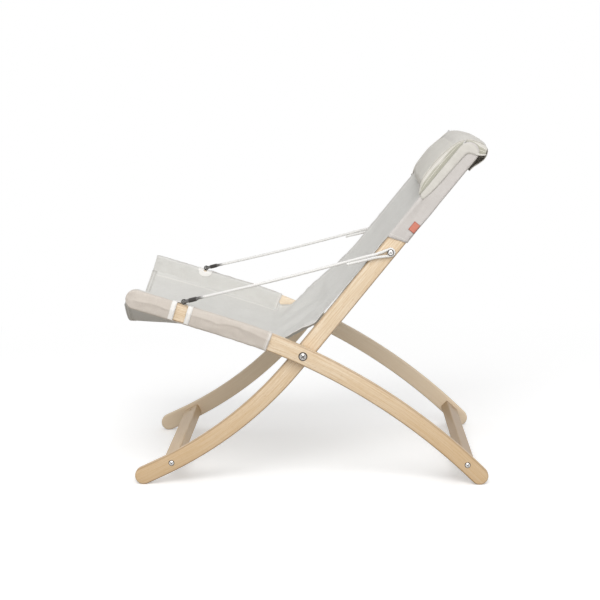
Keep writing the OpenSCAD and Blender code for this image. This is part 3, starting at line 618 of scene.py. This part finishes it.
def sling_rows():
    """Rows across the sling. A column is a place u, and m from 0 at a margin's edge to 1 at the seam"""
    inner, margin, curve, rest = 44, 4, 30, 22
    columns = [(-1, k / margin) for k in range(margin)]
    columns += [(2 * j / inner - 1, 1) for j in range(inner + 1)]
    columns += [(1, 1 - (k + 1) / margin) for k in range(margin)]
    free = {k: smooth_line([(s, v, 0) for s, v in p], 2.0)[:, :2] for k, p in FREE_EDGE.items()}

    def off(s, u):
        """How far the cloth stands off the fronts of the back bars"""
        left, right = (np.interp(s, free[k][:, 0], free[k][:, 1]) - ON_BAR for k in (1, -1))
        return right + (left - right) * (u + 1) / 2

    def seat_place(s, u, m):
        if m < 1:
            return SEAT.at(math.copysign(SEAT_SEAM + 1.2, u), s, (1 - m) * (20 - SLEEVE_W / 2) + m * SEAM_V)
        return seat_point(s, u)

    def back_place(s, u, m):
        if m < 1:
            ripple = max(0, wave(s * 0.05, math.copysign(1, u), 23, 3.0)) * (1 - m) * (s < BACK_START - 6)
            return BACK.at(math.copysign(BACK_OUT - 3 - MARGIN_W * m, u), s, ON_BAR + off(s, u) + ripple)
        v = SEAM_V + (ON_BAR - SEAM_V) * abs(u) ** 12 - BACK_SAG * (1 - u * u) + off(s, u)
        return BACK.at(BACK_SEAM * u, s, v + wave(s * 0.012, u * 1.5, 5, 3.0) * (1 - u * u))

    def free_line(side):
        """A free edge, from the seat sleeve to where the bend ends"""
        line = free[side]
        line = line[line[:, 0] <= MEET]
        l = lengths(line)
        s, v = (np.interp(np.linspace(0, l[-1], curve + 1)[1:], l, line[:, k]) for k in (0, 1))
        return [BACK.at(side * (BACK_OUT - 3 + 5.8 * max(0, 1 - a / 60) ** 2), a,
                        b + wave(a * 0.05, side, 23, 3.0)) for a, b in zip(s, v)]

    def body_line(u):
        """The cloth through the bend, with its folds"""
        a, e = seat_place(SEAT_START, u, 1), back_place(MEET, u, 1)
        hang = 1 - u * u
        b = a - (10 + 22 * hang) * MM * SEAT.along(SEAT_START)
        c = e - (16 + 36 * hang) * MM * BACK.along(MEET)
        line = []
        for f in np.linspace(0, 1, curve + 1)[1:]:
            g = 1 - f
            p = g ** 3 * a + 3 * g * g * f * b + 3 * g * f * f * c + f ** 3 * e
            fold = wave(u * 3 + f * 1.6, f * 1.3 - u, 7, 11.0) + wave(u * 8 - f * 3, f * 2, 5, 4.0)
            fold += 7 * math.exp(-((u - 0.88) / 0.12) ** 2) - 9 * math.exp(-((u - 0.5 - 0.22 * f) / 0.15) ** 2)
            line.append(p + fold * math.sin(math.pi * f) * MM * BACK.across(60) * (1 - abs(u) ** 12))
        return line

    rows = [[seat_place(s, *c) for c in columns] for s in np.linspace(SEAT_END - 1, SEAT_START, 38)]
    edges = {k: free_line(k) for k in (1, -1)}
    lifts = {k: [(e - p) * (0, 1, 1) for e, p in zip(edges[k], body_line(k))] for k in (1, -1)}
    lines = []
    for u, m in columns:
        body = [p + lift * abs(u) ** 5 for p, lift in zip(body_line(u), lifts[1 if u > 0 else -1])]
        if m < 1:
            body = [e + (p - e) * m for e, p in zip(edges[int(u)], body)]
        lines.append(body)
    rows += [list(r) for r in zip(*lines)]
    rows += [[back_place(s, *c) for c in columns] for s in np.linspace(MEET, BACK_START, rest + 1)[1:]]
    rows += [[back_place(s, *c) for c in columns] for s in np.linspace(BACK_START, BACK_END - 6, 26)[1:]]
    return rows


rows = sling_rows()
half = float(np.mean([lengths(np.array(r))[-1] for r in rows])) / 2
sling = grid("sling", rows, material("sling_cloth", canvas_paint(half)), shift=-half)
thick(sling, CLOTH_T)
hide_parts("seat_panel", "bend_panel", "back_panel")
SEAT.at(0, SEAT_START, 0)
BACK.at(0, BACK_START, 0)
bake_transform(sling)

# The sleeves: tubes of a coarser, warmer canvas, sewn to the sling's edges and drawn over the bars,
# each closed at its upper end. Those of the seat hang loose over the bars' outer sides and have an
# opening for the rope, cut through the top and half round in the inner side.
SLOT_W, SLOT_R = 27, 10
CORNER_R, RING_STEP = 5.0, 5.0
# the near nose is drawn in a little from here on, and a leaning start is upright again after this
NOSE_S, NOSE_DROOP, LEAN_L = 205, 0.02, 45


def sleeve_paint(inner, outer, warm, facing=0):
    """The sling's colour on its inner side, and warm, a colour and its low one, on its outer side.
    The places between them are across the chair. facing is the width of the paler facing"""
    def paint(tree):
        u, v, _ = places(tree, "UV")
        out = places(tree, "Object")[0].abs().step(inner, outer)
        look = cloth(blend(out, CANVAS, warm[0]), blend(out, CANVAS_LOW, warm[1]), u, v)
        mesh = mottle(point(u * 700, v * 700), 1.0, 1.0).step(0.5, 0.7) * 0.3
        look["Base Color"] = blend(out * mesh, look["Base Color"], rgb(184, 172, 160))
        if facing:
            pale = (1 - v.step(facing, facing + 0.001)) * 0.7
            look["Base Color"] = blend(pale, look["Base Color"], rgb(240, 236, 232))
        return sewn(look, stitches(u, v, 0.008))
    return paint


seat_sleeve_cloth = material("seat_sleeve_cloth",
                             sleeve_paint(0.286, 0.298, (rgb(219, 211, 202), rgb(202, 192, 182)), 0.0055))
back_sleeve_cloth = material("back_sleeve_cloth",
                             sleeve_paint(0.262, 0.274, (rgb(217, 213, 210), rgb(200, 195, 191))))


def tube_section(w, t, r):
    """Points round a rounded rectangle, as (x, v) with the outward direction"""
    out = []
    for cx, cv, a0, n in ((t / 2 - r, w / 2 - r, 0, 7), (-t / 2 + r, w / 2 - r, 90, 15),
                          (-t / 2 + r, -w / 2 + r, 180, 7), (t / 2 - r, -w / 2 + r, 270, 15)):
        for k in range(7):
            a = math.radians(a0 + 15 * k)
            out.append((cx + r * math.cos(a), cv + r * math.sin(a), math.cos(a), math.sin(a)))
        x, v, dx, dv = out[-1]
        gap = (t if n == 7 else w) - 2 * r
        out += [(x - dv * gap * k / n, v + dx * gap * k / n, dx, dv) for k in range(1, n)]
    return out


def sleeve_rows(b, x, s0, s1, puff, tilt=0.0, square=False, grow=0.0):
    """Rings along a sleeve. Its start leans by tilt. Its end is round like the bar's, or square
    and drawn to its inner side. puff gives how far the cloth stands off the bar"""
    r = SLEEVE_W / 2
    quarter = np.sin(np.linspace(0, math.pi / 2, 16)[:-1])
    rows = []
    for s in [*np.arange(s0, s1 - r, RING_STEP), *(s1 - r + r * quarter), s1 - 0.05]:
        narrow = 1.0 if square else math.sqrt(1 - (max(0.0, s - s1 + r) / r) ** 2)
        row = []
        for px, pv, nx, nv in tube_section(SLEEVE_W, SLEEVE_T, CORNER_R):
            o = puff(s, px, pv, nx, nv) + grow
            qx, qv = px + nx * o, (pv + nv * o) * narrow
            if b is SEAT and not square and pv < 0:
                qv *= 1 - NOSE_DROOP * min(1, max(0, s - NOSE_S) / 30)
            if square:
                tip = b.straight + math.sqrt(max(0.0, (BAR_W / 2) ** 2 - pv * pv)) + 2
                far = min(1.0, max(0.0, (s - tip) / (s1 - tip)))
                qx = (qx + SLEEVE_T / 2) * (0.06 + 0.94 * math.sqrt(1 - far * far)) - SLEEVE_T / 2
            else:
                qx *= 0.25 + 0.75 * narrow ** 0.5
            row.append(b.at(x + qx, s + tilt * pv / r * max(0.0, 1 - (s - s0) / LEAN_L), qv))
        rows.append(row)
    return rows


def mirror_x(rows, side):
    """Rows of the left side, or their mirror image, with the faces kept outward"""
    rows = np.array(rows, float)
    if side < 0:
        rows = rows[:, ::-1] * np.array((-1, 1, 1))
    return rows


def outward(mesh):
    """Turns all faces outward"""
    bm = bmesh.new()
    bm.from_mesh(mesh)
    bmesh.ops.recalc_face_normals(bm, faces=bm.faces)
    bm.to_mesh(mesh)
    bm.free()


def fixed(obj):
    """Applies all modifiers"""
    bpy.context.view_layer.update()
    mesh = bpy.data.meshes.new_from_object(obj.evaluated_get(bpy.context.evaluated_depsgraph_get()))
    obj.modifiers.clear()
    obj.data = mesh


def cut(obj, cutter, operation="DIFFERENCE"):
    m = obj.modifiers.new("cut", "BOOLEAN")
    m.object, m.operation, m.solver = cutter, operation, "EXACT"
    fixed(obj)


def slot_space(side, more, inner):
    """The opening for the rope, as two closed meshes: a box through the top and outer side of the
    sleeve, more wider at both ends, and a half round of that radius in its inner side"""
    low, high, bottom = EYE_S - SLOT_W / 2 - more, EYE_S + SLOT_W / 2 + more, SLEEVE_W / 2 - 3
    box = [(low, -SLEEVE_W), (high, -SLEEVE_W), (high, bottom), (low, bottom)]
    arc = [(EYE_S + inner * math.cos(a), -SLEEVE_W / 2 - 1 + inner * math.sin(a))
           for a in np.linspace(0, math.pi, 25)]
    arc = [(EYE_S + inner, -SLEEVE_W)] + arc + [(EYE_S - inner, -SLEEVE_W)]
    spaces = []
    for pts, x0, x1 in ((box, 0.0, 24.0), (arc, -20.0, 1.0)):
        n = len(pts)
        verts = [SEAT.at((SEAT_X + x) * side, s, v) for x in (x0, x1) for s, v in pts]
        faces = [tuple(range(n)), tuple(reversed(range(n, 2 * n)))]
        faces += [(i, i + n, (i + 1) % n + n, (i + 1) % n) for i in range(n)]
        mesh = bpy.data.meshes.new("cutter")
        mesh.from_pydata([tuple(v) for v in verts], [], faces)
        outward(mesh)
        spaces.append(bpy.data.objects.new("cutter", mesh))
        bpy.context.scene.collection.objects.link(spaces[-1])
    return spaces


def seat_puff(s, px, pv, nx, nv):
    """The outer side hangs loose over the bar and has a long, wavy crease"""
    crease = np.interp(s, (-88, -13, 23, 92, 154, 190, 226, 240), (-4, -11, -4, -5, -1, -2, 2, 9))
    crease = crease + wave(s * 0.05, 2, 0, 3)
    tent = 1 - (crease - pv) / 20 if pv < crease else 0.75 - (pv - crease) / 36
    loose = min(1, max(0.3, (254 - s) / 30))
    outer = max(0, nx) * max(0, tent) * (5.0 + wave(s * 0.02, 1, 5, 1.5)) * loose
    return outer + wave(s * 0.05, px * 0.08 + pv * 0.07, 1, 1.2) + 0.5


def seat_sleeve(side):
    """The left one has a round end, and the right one a square one that reaches a little further"""
    name = "seat_sleeve_left" if side > 0 else "seat_sleeve_right"
    end, square = (SEAT_END, False) if side > 0 else (SEAT_END + 3.5, True)
    rings = sleeve_rows(SEAT, SEAT_X, SEAT_START, end, seat_puff, square=square)
    obj = grid(name + "_cloth", mirror_x(rings, side), seat_sleeve_cloth, wrap=True, cap_last=True)
    outward(obj.data)
    thick(obj, CLOTH_T, -1.0)
    fixed(obj)
    for space in slot_space(side, 0, SLOT_R):
        cut(obj, space)
        bpy.data.objects.remove(space)
    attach(obj, "seat_frame")
    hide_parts(name)


def back_puff(s, px, pv, nx, nv):
    """It lies loose up to the hood and close under it"""
    loose = max(0, min(1, (505 - s) / 30))
    outer = max(0, nx) * wave(s * 0.012, pv * 0.09, 4, 1.6)
    return (wave(s * 0.02, px * 0.06 + pv * 0.05, 2, 1.0) + outer) * loose + 0.4


def back_sleeve(side):
    name = "back_sleeve_left" if side > 0 else "back_sleeve_right"
    rings = sleeve_rows(BACK, BACK_X, BACK_START, BACK_END, back_puff, tilt=-8.5)
    obj = grid(name + "_cloth", mirror_x(rings, side), back_sleeve_cloth, wrap=True, cap_last=True)
    outward(obj.data)
    thick(obj, CLOTH_T, -1.0)
    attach(obj, "back_frame")
    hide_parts(name)


for side in (1, -1):
    seat_sleeve(side)
    back_sleeve(side)

# The front hem: the sling's front edge folded over twice and sewn down with two rows of stitches.
# It hangs in a curve between the seat sleeves.
HEM_W, HEM_T, HEM_ROWS = 13.0, 3.0, (0.0035, 0.0095)


def hem_paint(tree):
    u, v, _ = places(tree, "UV")
    look = cloth(CANVAS, CANVAS_LOW, u, v)
    for at in HEM_ROWS:
        # painted shade in the groove beside each row of stitches
        groove_shade = (1 - (v - at).abs() / 0.0016).most(0)
        look["Base Color"] = blend(groove_shade * 0.7, look["Base Color"], rgb(128, 122, 112))
        look["height"] = look["height"] - groove_shade * 0.0005
    return sewn(look, sum(stitches(u, v, at) for at in HEM_ROWS))


rows = [[seat_point(s, u * 0.998) for u in np.linspace(-1, 1, 61)]
        for s in np.linspace(SEAT_END, SEAT_END - HEM_W, 6)]
hem = thick(grid("hem", rows, material("hem_cloth", hem_paint)), HEM_T)
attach(hem, "seat_frame")
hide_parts("front_hem")

# The slot tapes: white cotton tape that binds the raw edges of each opening, folded over them and
# sewn. What lies in either part of the grown opening is kept of a tube just outside the sleeve.
TAPE_W, TAPE_T = 12, 0.7


def tape_paint(tree):
    u, v, _ = places(tree, "UV")
    return cloth(rgb(254, 252, 249), rgb(243, 240, 235), u, v, 0.0009)


tape = material("tape", tape_paint)


def slot_tape(side):
    name = "slot_tape_left" if side > 0 else "slot_tape_right"
    rings = sleeve_rows(SEAT, SEAT_X, 80.0, 160.0 + SLEEVE_W / 2, seat_puff, grow=0.9)[:17]
    obj = grid(name + "_band", mirror_x(rings, side), tape, wrap=True)
    outward(obj.data)
    thick(obj, TAPE_T, -1.0)
    fixed(obj)
    spaces = slot_space(side, 0, SLOT_R / 2) + slot_space(side, TAPE_W, SLOT_R + 9)
    cut(obj, spaces[0])
    cut(obj, spaces[1])
    cut(spaces[2], spaces[3], "UNION")
    cut(obj, spaces[2], "INTERSECT")
    for space in spaces:
        bpy.data.objects.remove(space)
    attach(obj, "seat_frame")
    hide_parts(name)


for side in (1, -1):
    slot_tape(side)

# The head pillow: a cushion of canvas filled with fibre, laid across the top of the back cloth and
# held there by the hood. It is drawn flat between them and filled as cloth with pressure in it.
PILLOW_W, PILLOW_FROM, PILLOW_TO = 254.0, 499.0, 660.0
# it lies on the sleeves from here on to both sides, and its cloth is this long when laid out
ON_SLEEVES_X, LAID_L = 243, 0.17
# below this place it shows in front of the hood, and swells this much further
SHOWN_TO, SHOWN_SOFT, SWELL = 637, 12, 1.9
# the hood's ridge at its ends and in its middle, as places along and across the back bars: from the
# pillow's lower end up its front, over the top and down behind
RIDGE_X = 258.0
RIDGE = ((491, 26.5), (520, 41.5), (553, 45), (582, 45), (604, 41.5), (631, 35.5), (647, 27.5), (660, 15),
         (668, -1), (672, -16), (670, -30), (660, -37), (646, -39), (632, -36), (617, -31), (605, -30))
MIDDLE = ((497, 39), (520, 47), (553, 50.5), (582, 50.5), (604, 47), (631, 41), (649, 33), (663, 21),
          (673, 5), (679, -12), (678, -29), (664, -39), (646, -41), (632, -38), (617, -33), (605, -31))
PER_STRETCH = 20
CORNER, TOP = 10 * PER_STRETCH, 634
FLATTER, FLATTER_TO, FLATTER_SOFT = 5.5, 670, 42
ridge, middle = smooth_line(RIDGE), smooth_line(MIDDLE)


def along_back(tree):
    """Places across and along the back, for pieces without a laid out surface"""
    x, y, z = places(tree, "Object")
    return x, y * math.cos(BACK.slope) + z * math.sin(BACK.slope)


def pillow_paint(tree):
    return cloth(rgb(224, 221, 213), rgb(208, 204, 196), *along_back(tree))


def hood_line(x):
    """The hood's line along the back there, which lies flatter towards the right"""
    u = x / RIDGE_X
    line = ridge + (middle - ridge) * (1 - u * u)
    line[:CORNER, 1] -= FLATTER * (1 - u) * np.clip((FLATTER_TO - line[:CORNER, 0]) / FLATTER_SOFT, 0, 1)
    return line


def floor_at(x, s):
    """What the pillow lies on: the sleeves with their round ends, and the cloth between them"""
    if abs(x) > ON_SLEEVES_X:
        r = SLEEVE_W / 2 + 0.8
        return r if s < TOP else math.sqrt(max(0, r ** 2 - (s - TOP) ** 2))
    return SEAM_V - BACK_SAG * (1 - (x / BACK_SEAM) ** 2) + 2.2


def front_at(x, s):
    """The underside of the hood's cloth"""
    line = hood_line(x)
    return float(np.interp(s, line[:CORNER, 0], line[:CORNER, 1])) - 1.8


def pillow_shape():
    """Two faces of n by m cells that meet in a rim"""
    n, m = 72, 36

    def place(u, q, face):
        full = math.sqrt((1 - abs(u) ** 16) * (1 - abs(q) ** 10))
        x, s = PILLOW_W * u, (PILLOW_FROM + PILLOW_TO) / 2 + (PILLOW_TO - PILLOW_FROM) / 2 * q
        low, high = floor_at(x, s), front_at(x, s)
        rim = low + (high - low) * 0.35
        return BACK.at(x, s, rim + ((high if face else low) - rim) * full)

    verts, faces, uvs, index = [], [], [], {}
    for face in (True, False):
        for i in range(n + 1):
            for j in range(m + 1):
                if not face and (i in (0, n) or j in (0, m)):
                    index[face, i, j] = index[True, i, j]
                    continue
                index[face, i, j] = len(verts)
                u, q = (math.sin(math.pi / 2 * k) * 0.5 + k * 0.5 for k in (2 * i / n - 1, 2 * j / m - 1))
                verts.append(place(u, q, face))
        for i in range(n):
            for j in range(m):
                cell = [(i, j), (i + 1, j), (i + 1, j + 1), (i, j + 1)]
                cell = cell if face else cell[::-1]
                faces.append(tuple(index[face, a, b] for a, b in cell))
                uvs.append([(a * 2 * PILLOW_W / n * MM, b * LAID_L / m) for a, b in cell])
    return made("pillow", verts, faces, uvs, material("pillow_cloth", pillow_paint))


def places_of(mesh):
    data = np.zeros(len(mesh.vertices) * 3)
    mesh.vertices.foreach_get("co", data)
    return data.reshape(-1, 3)


def fill(obj, most, cell=0.0055, pressure=4.0, frames=20):
    """Fills a closed form like a cushion, as cloth with pressure in it. No place moves further than most"""
    m = obj.modifiers.new("even", "REMESH")
    m.mode, m.voxel_size, m.use_smooth_shade = "VOXEL", cell, True
    fixed(obj)
    before = places_of(obj.data)
    m = obj.modifiers.new("filling", "CLOTH")
    m.settings.quality, m.settings.mass = 5, 0.3
    m.settings.use_pressure, m.settings.uniform_pressure_force = True, pressure
    m.settings.effector_weights.gravity = 0
    m.point_cache.frame_start, m.point_cache.frame_end = 1, frames
    scene = bpy.context.scene
    for k in range(1, frames + 1):
        scene.frame_set(k)
    fixed(obj)
    scene.frame_set(1)
    move = places_of(obj.data) - before
    size = np.linalg.norm(move, axis=1, keepdims=True)
    now = before + move * np.minimum(1, most / np.maximum(size, 1e-9))
    obj.data.vertices.foreach_set("co", now.ravel())


def settle(obj):
    """Lays the filled pillow on what is under it and below the hood, with soft wrinkles"""
    c, d = math.cos(BACK.slope), math.sin(BACK.slope)
    now = places_of(obj.data) / MM
    for p in now:
        x, y, z = p[0], p[1] - PIVOT[0], p[2] - PIVOT[1]
        s, v = BACK.pivot + y * c + z * d, z * c - y * d
        low, high = floor_at(x, s), front_at(x, s)
        if v > (low + high) / 2:
            v += wave(x * 0.011 + s * 0.006, s * 0.03, 11, 2.2) + wave(x * 0.03, s * 0.05, 13, 1.0)
        v = max(low, min(v, high + SWELL * min(1, max(0, (SHOWN_TO - s) / SHOWN_SOFT))))
        p[1:] = BACK.at(0, s, v)[1:] / MM
    obj.data.vertices.foreach_set("co", (now * MM).ravel())
    obj.data.update()


pillow = pillow_shape()
fill(pillow, 0.004)
settle(pillow)
smoother = pillow.modifiers.new("smooth", "SUBSURF")
smoother.levels = smoother.render_levels = 1
fixed(pillow)
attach(pillow, "back_frame")
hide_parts("head_pillow")

# The hood: a canvas flap from the pillow's top over the ends of the bars and down behind the back,
# with a panel at each end that is sewn along a piped ridge and hemmed to lie on the sleeve.
HEM_X = 278.1
PANEL_HEM = ((485, 14), (518, 8), (550, 6), (580, 5), (605, 4), (622, 3), (632, 1), (637, -5), (641, -14),
             (648, -25), (656, -34))
panel_hem = smooth_line(PANEL_HEM)
FLAP_FROM, SUNK, TUCK = 4 * PER_STRETCH + 16, 1.7, 16
FLAP_FRONT_TO, CORNER_W = 668, 6


def hood_paint(tree):
    """The hollow below the ridge is in its shade and looks darker"""
    x, s = along_back(tree)
    u, v, _ = places(tree, "UV")
    hollow = x.abs().step(0.2585, 0.2605) * (1 - x.abs().step(0.269, 0.281))
    look = cloth(blend(hollow, rgb(222, 219, 213), rgb(182, 180, 166)),
                 blend(hollow, rgb(206, 202, 195), rgb(168, 165, 150)), x, s)
    return sewn(look, (stitches(v, u, 0.004) + stitches(v, u, 0.0095)).least(1), rise=0.0003)


hood_cloth = material("hood_cloth", hood_paint)


def panel_rows(side):
    """An end panel, from the ridge round the front corner of the sleeve to the hem"""
    def beyond(s, v):
        return (v if s < TOP else math.hypot(s - TOP, v)) - SLEEVE_W / 2

    rows = []
    for r, h in zip(hood_line(side * RIDGE_X)[:CORNER + 1:5], panel_hem[::5]):
        high, low = beyond(*r), beyond(*h)
        turn = min(0.86, (high - 2.6) / (high - low))
        ways = [(turn * k / 5, RIDGE_X + CORNER_W * (k / 5) ** 2) for k in range(6)]
        ways += [(turn + (1 - turn) * 0.02 * k, RIDGE_X + CORNER_W + 3.3 * k) for k in range(1, 5)]
        ways += [(turn + (1 - turn) * f, HEM_X - 0.8 * (1 - f)) for f in (0.16, 0.3, 0.5, 0.75, 1)]
        row = []
        for f, x in ways:
            s, v = r + (h - r) * f
            soft = math.sin(math.pi * min(1, f / turn)) if turn else 0
            row.append(BACK.at(side * (x + wave(s * 0.03, v * 0.04, 17 + side, 2.4) * soft), s, v))
        rows.append(row)
    return rows


def joined(first, *others):
    """Joins meshes, with places that meet made one, and gives their area"""
    bm = bmesh.new()
    for o in (first, *others):
        bm.from_mesh(o.data)
    bmesh.ops.remove_doubles(bm, verts=bm.verts, dist=1e-5)
    bmesh.ops.recalc_face_normals(bm, faces=bm.faces)
    area = sum(f.calc_area() for f in bm.faces)
    bm.to_mesh(first.data)
    bm.free()
    for o in others:
        bpy.data.objects.remove(o)
    return area


across = np.linspace(-1, 1, 49)
lines = [hood_line(RIDGE_X * u) for u in across]
rows = []
for k in range(FLAP_FROM, len(ridge), 4):
    row = []
    for u, line in zip(across, lines):
        s, v = line[k]
        free = (1 - u ** 8) * min(1, (k - FLAP_FROM) / PER_STRETCH)
        under = SUNK * max(0, 1 - (k - FLAP_FROM) / TUCK)
        row.append(BACK.at(RIDGE_X * u, s + wave(u * 5, v * 0.03, 19, 2.5) * free,
                           v - under + wave(u * 4, s * 0.02, 21, 2.5) * free * (s < FLAP_FRONT_TO)))
    rows.append(row)
hood = grid("hood", rows, hood_cloth)
panels = [grid("panel", mirror_x(panel_rows(1), 1), hood_cloth), grid("panel", panel_rows(-1), hood_cloth)]
area = joined(hood, *panels)
thick(hood, CLOTH_T)
fixed(hood)
seams = []
for side in (1, -1):
    edge = hood_line(side * RIDGE_X)[:CORNER - 16:4]
    line = np.array([BACK.at(side * (RIDGE_X + 0.4), s + 0.4, v + 0.4) / MM for s, v in edge])
    seams.append(grid("seam", np.array(tube_rows(line, 1.2, 8)) * MM, hood_cloth, wrap=True))
joined(hood, *seams)
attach(hood, "back_frame")
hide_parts("pillow_flap")

# The tag: a small, blank, coral square of woven tape with a darker rim, sewn flat on the outer side
# of the left back sleeve.
TAG_S, TAG_V, TAG_T = (413, 437), (-20.5, -3.5), 0.8


def tag_paint(tree):
    u, v, _ = places(tree, "UV")
    look = cloth(rgb(216, 141, 122), rgb(198, 116, 98), u, v, 0.0006, 0.0001)
    wide, long = (TAG_V[1] - TAG_V[0]) * MM, (TAG_S[1] - TAG_S[0]) * MM
    rim = (1 - u.least(wide - u).least(v).least(long - v) / 0.0018).most(0)
    look["Base Color"] = blend(rim * 0.8, look["Base Color"], rgb(150, 78, 66))
    return look


rows = [[BACK.at(BACK_X + SLEEVE_T / 2 + back_puff(s, SLEEVE_T / 2, v, 1, 0) + 1.0, s, v)
         for v in np.linspace(*TAG_V, 9)] for s in np.linspace(*TAG_S, 12)]
tag = thick(grid("tag", rows, material("tag_cloth", tag_paint)), TAG_T)
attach(tag, "back_frame")
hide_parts("side_tag")

# The studio: a white floor that keeps the chair's shadow and fades into a white background, with
# one large lamp high on the chair's left and a weak one low beside it. What the eye, metal and
# glass see of the surroundings is whiter than the light that comes off them.
SEEN = "Is Camera Ray", "Is Glossy Ray", "Is Transmission Ray"
FLOOR_REACH = 20
LAMPS = ("key", (3.1, 0.0, 3.1), 2.6, 92), ("side", (3.6, 0.2, 0.8), 1.8, 20)
AIM = Vector((0, 0, 0.4))


def seen_rays(tree):
    camera_ray, glossy, through = Value.node(tree, "LightPath", {}, {}, SEEN)
    return camera_ray.most(glossy).most(through)


def floor_paint(tree):
    return {"Base Color": blend(seen_rays(tree), (0.36, 0.34, 0.31), rgb(250, 250, 250)), "Roughness": 0.9}


scene = bpy.context.scene
scene.view_settings.view_transform = "Standard"
floor = material("floor", floor_paint)
tree = floor.node_tree
surface = next(n for n in tree.nodes if n.type == "BSDF_PRINCIPLED")
shown = seen_rays(tree)
x, y, _ = places(tree, "Object")
far = (x * x + y * y).root().step(0.7, 2.2)
glow = Value.node(tree, "Emission", {}, {})
lift = Value.node(tree, "Emission", {}, {"Strength": shown * 0.25})
lit = Value.node(tree, "AddShader", {}, {0: Value(tree, surface.outputs[0]), 1: lift})
mixed = Value.node(tree, "MixShader", {}, {0: shown * far, 1: lit, 2: glow})
Value.plug(next(n for n in tree.nodes if n.type == "OUTPUT_MATERIAL").inputs["Surface"], mixed)
reach = (-FLOOR_REACH, FLOOR_REACH)
grid("floor", [[(x, y, 0) for x in reach] for y in reach], floor)

scene.world = bpy.data.worlds.new("world")
scene.world.use_nodes = True
tree = scene.world.node_tree
background = next(n for n in tree.nodes if n.type == "BACKGROUND")
background.inputs["Color"].default_value = (1, 1, 1, 1)
Value.plug(background.inputs["Strength"], seen_rays(tree) * 0.4 + 0.6)

for name, place, size, power in LAMPS:
    data = bpy.data.lights.new(name, "AREA")
    data.size, data.energy = size, power
    lamp = bpy.data.objects.new(name, data)
    lamp.location = place
    lamp.rotation_euler = (AIM - Vector(place)).to_track_quat("-Z", "Y").to_euler()
    scene.collection.objects.link(lamp)
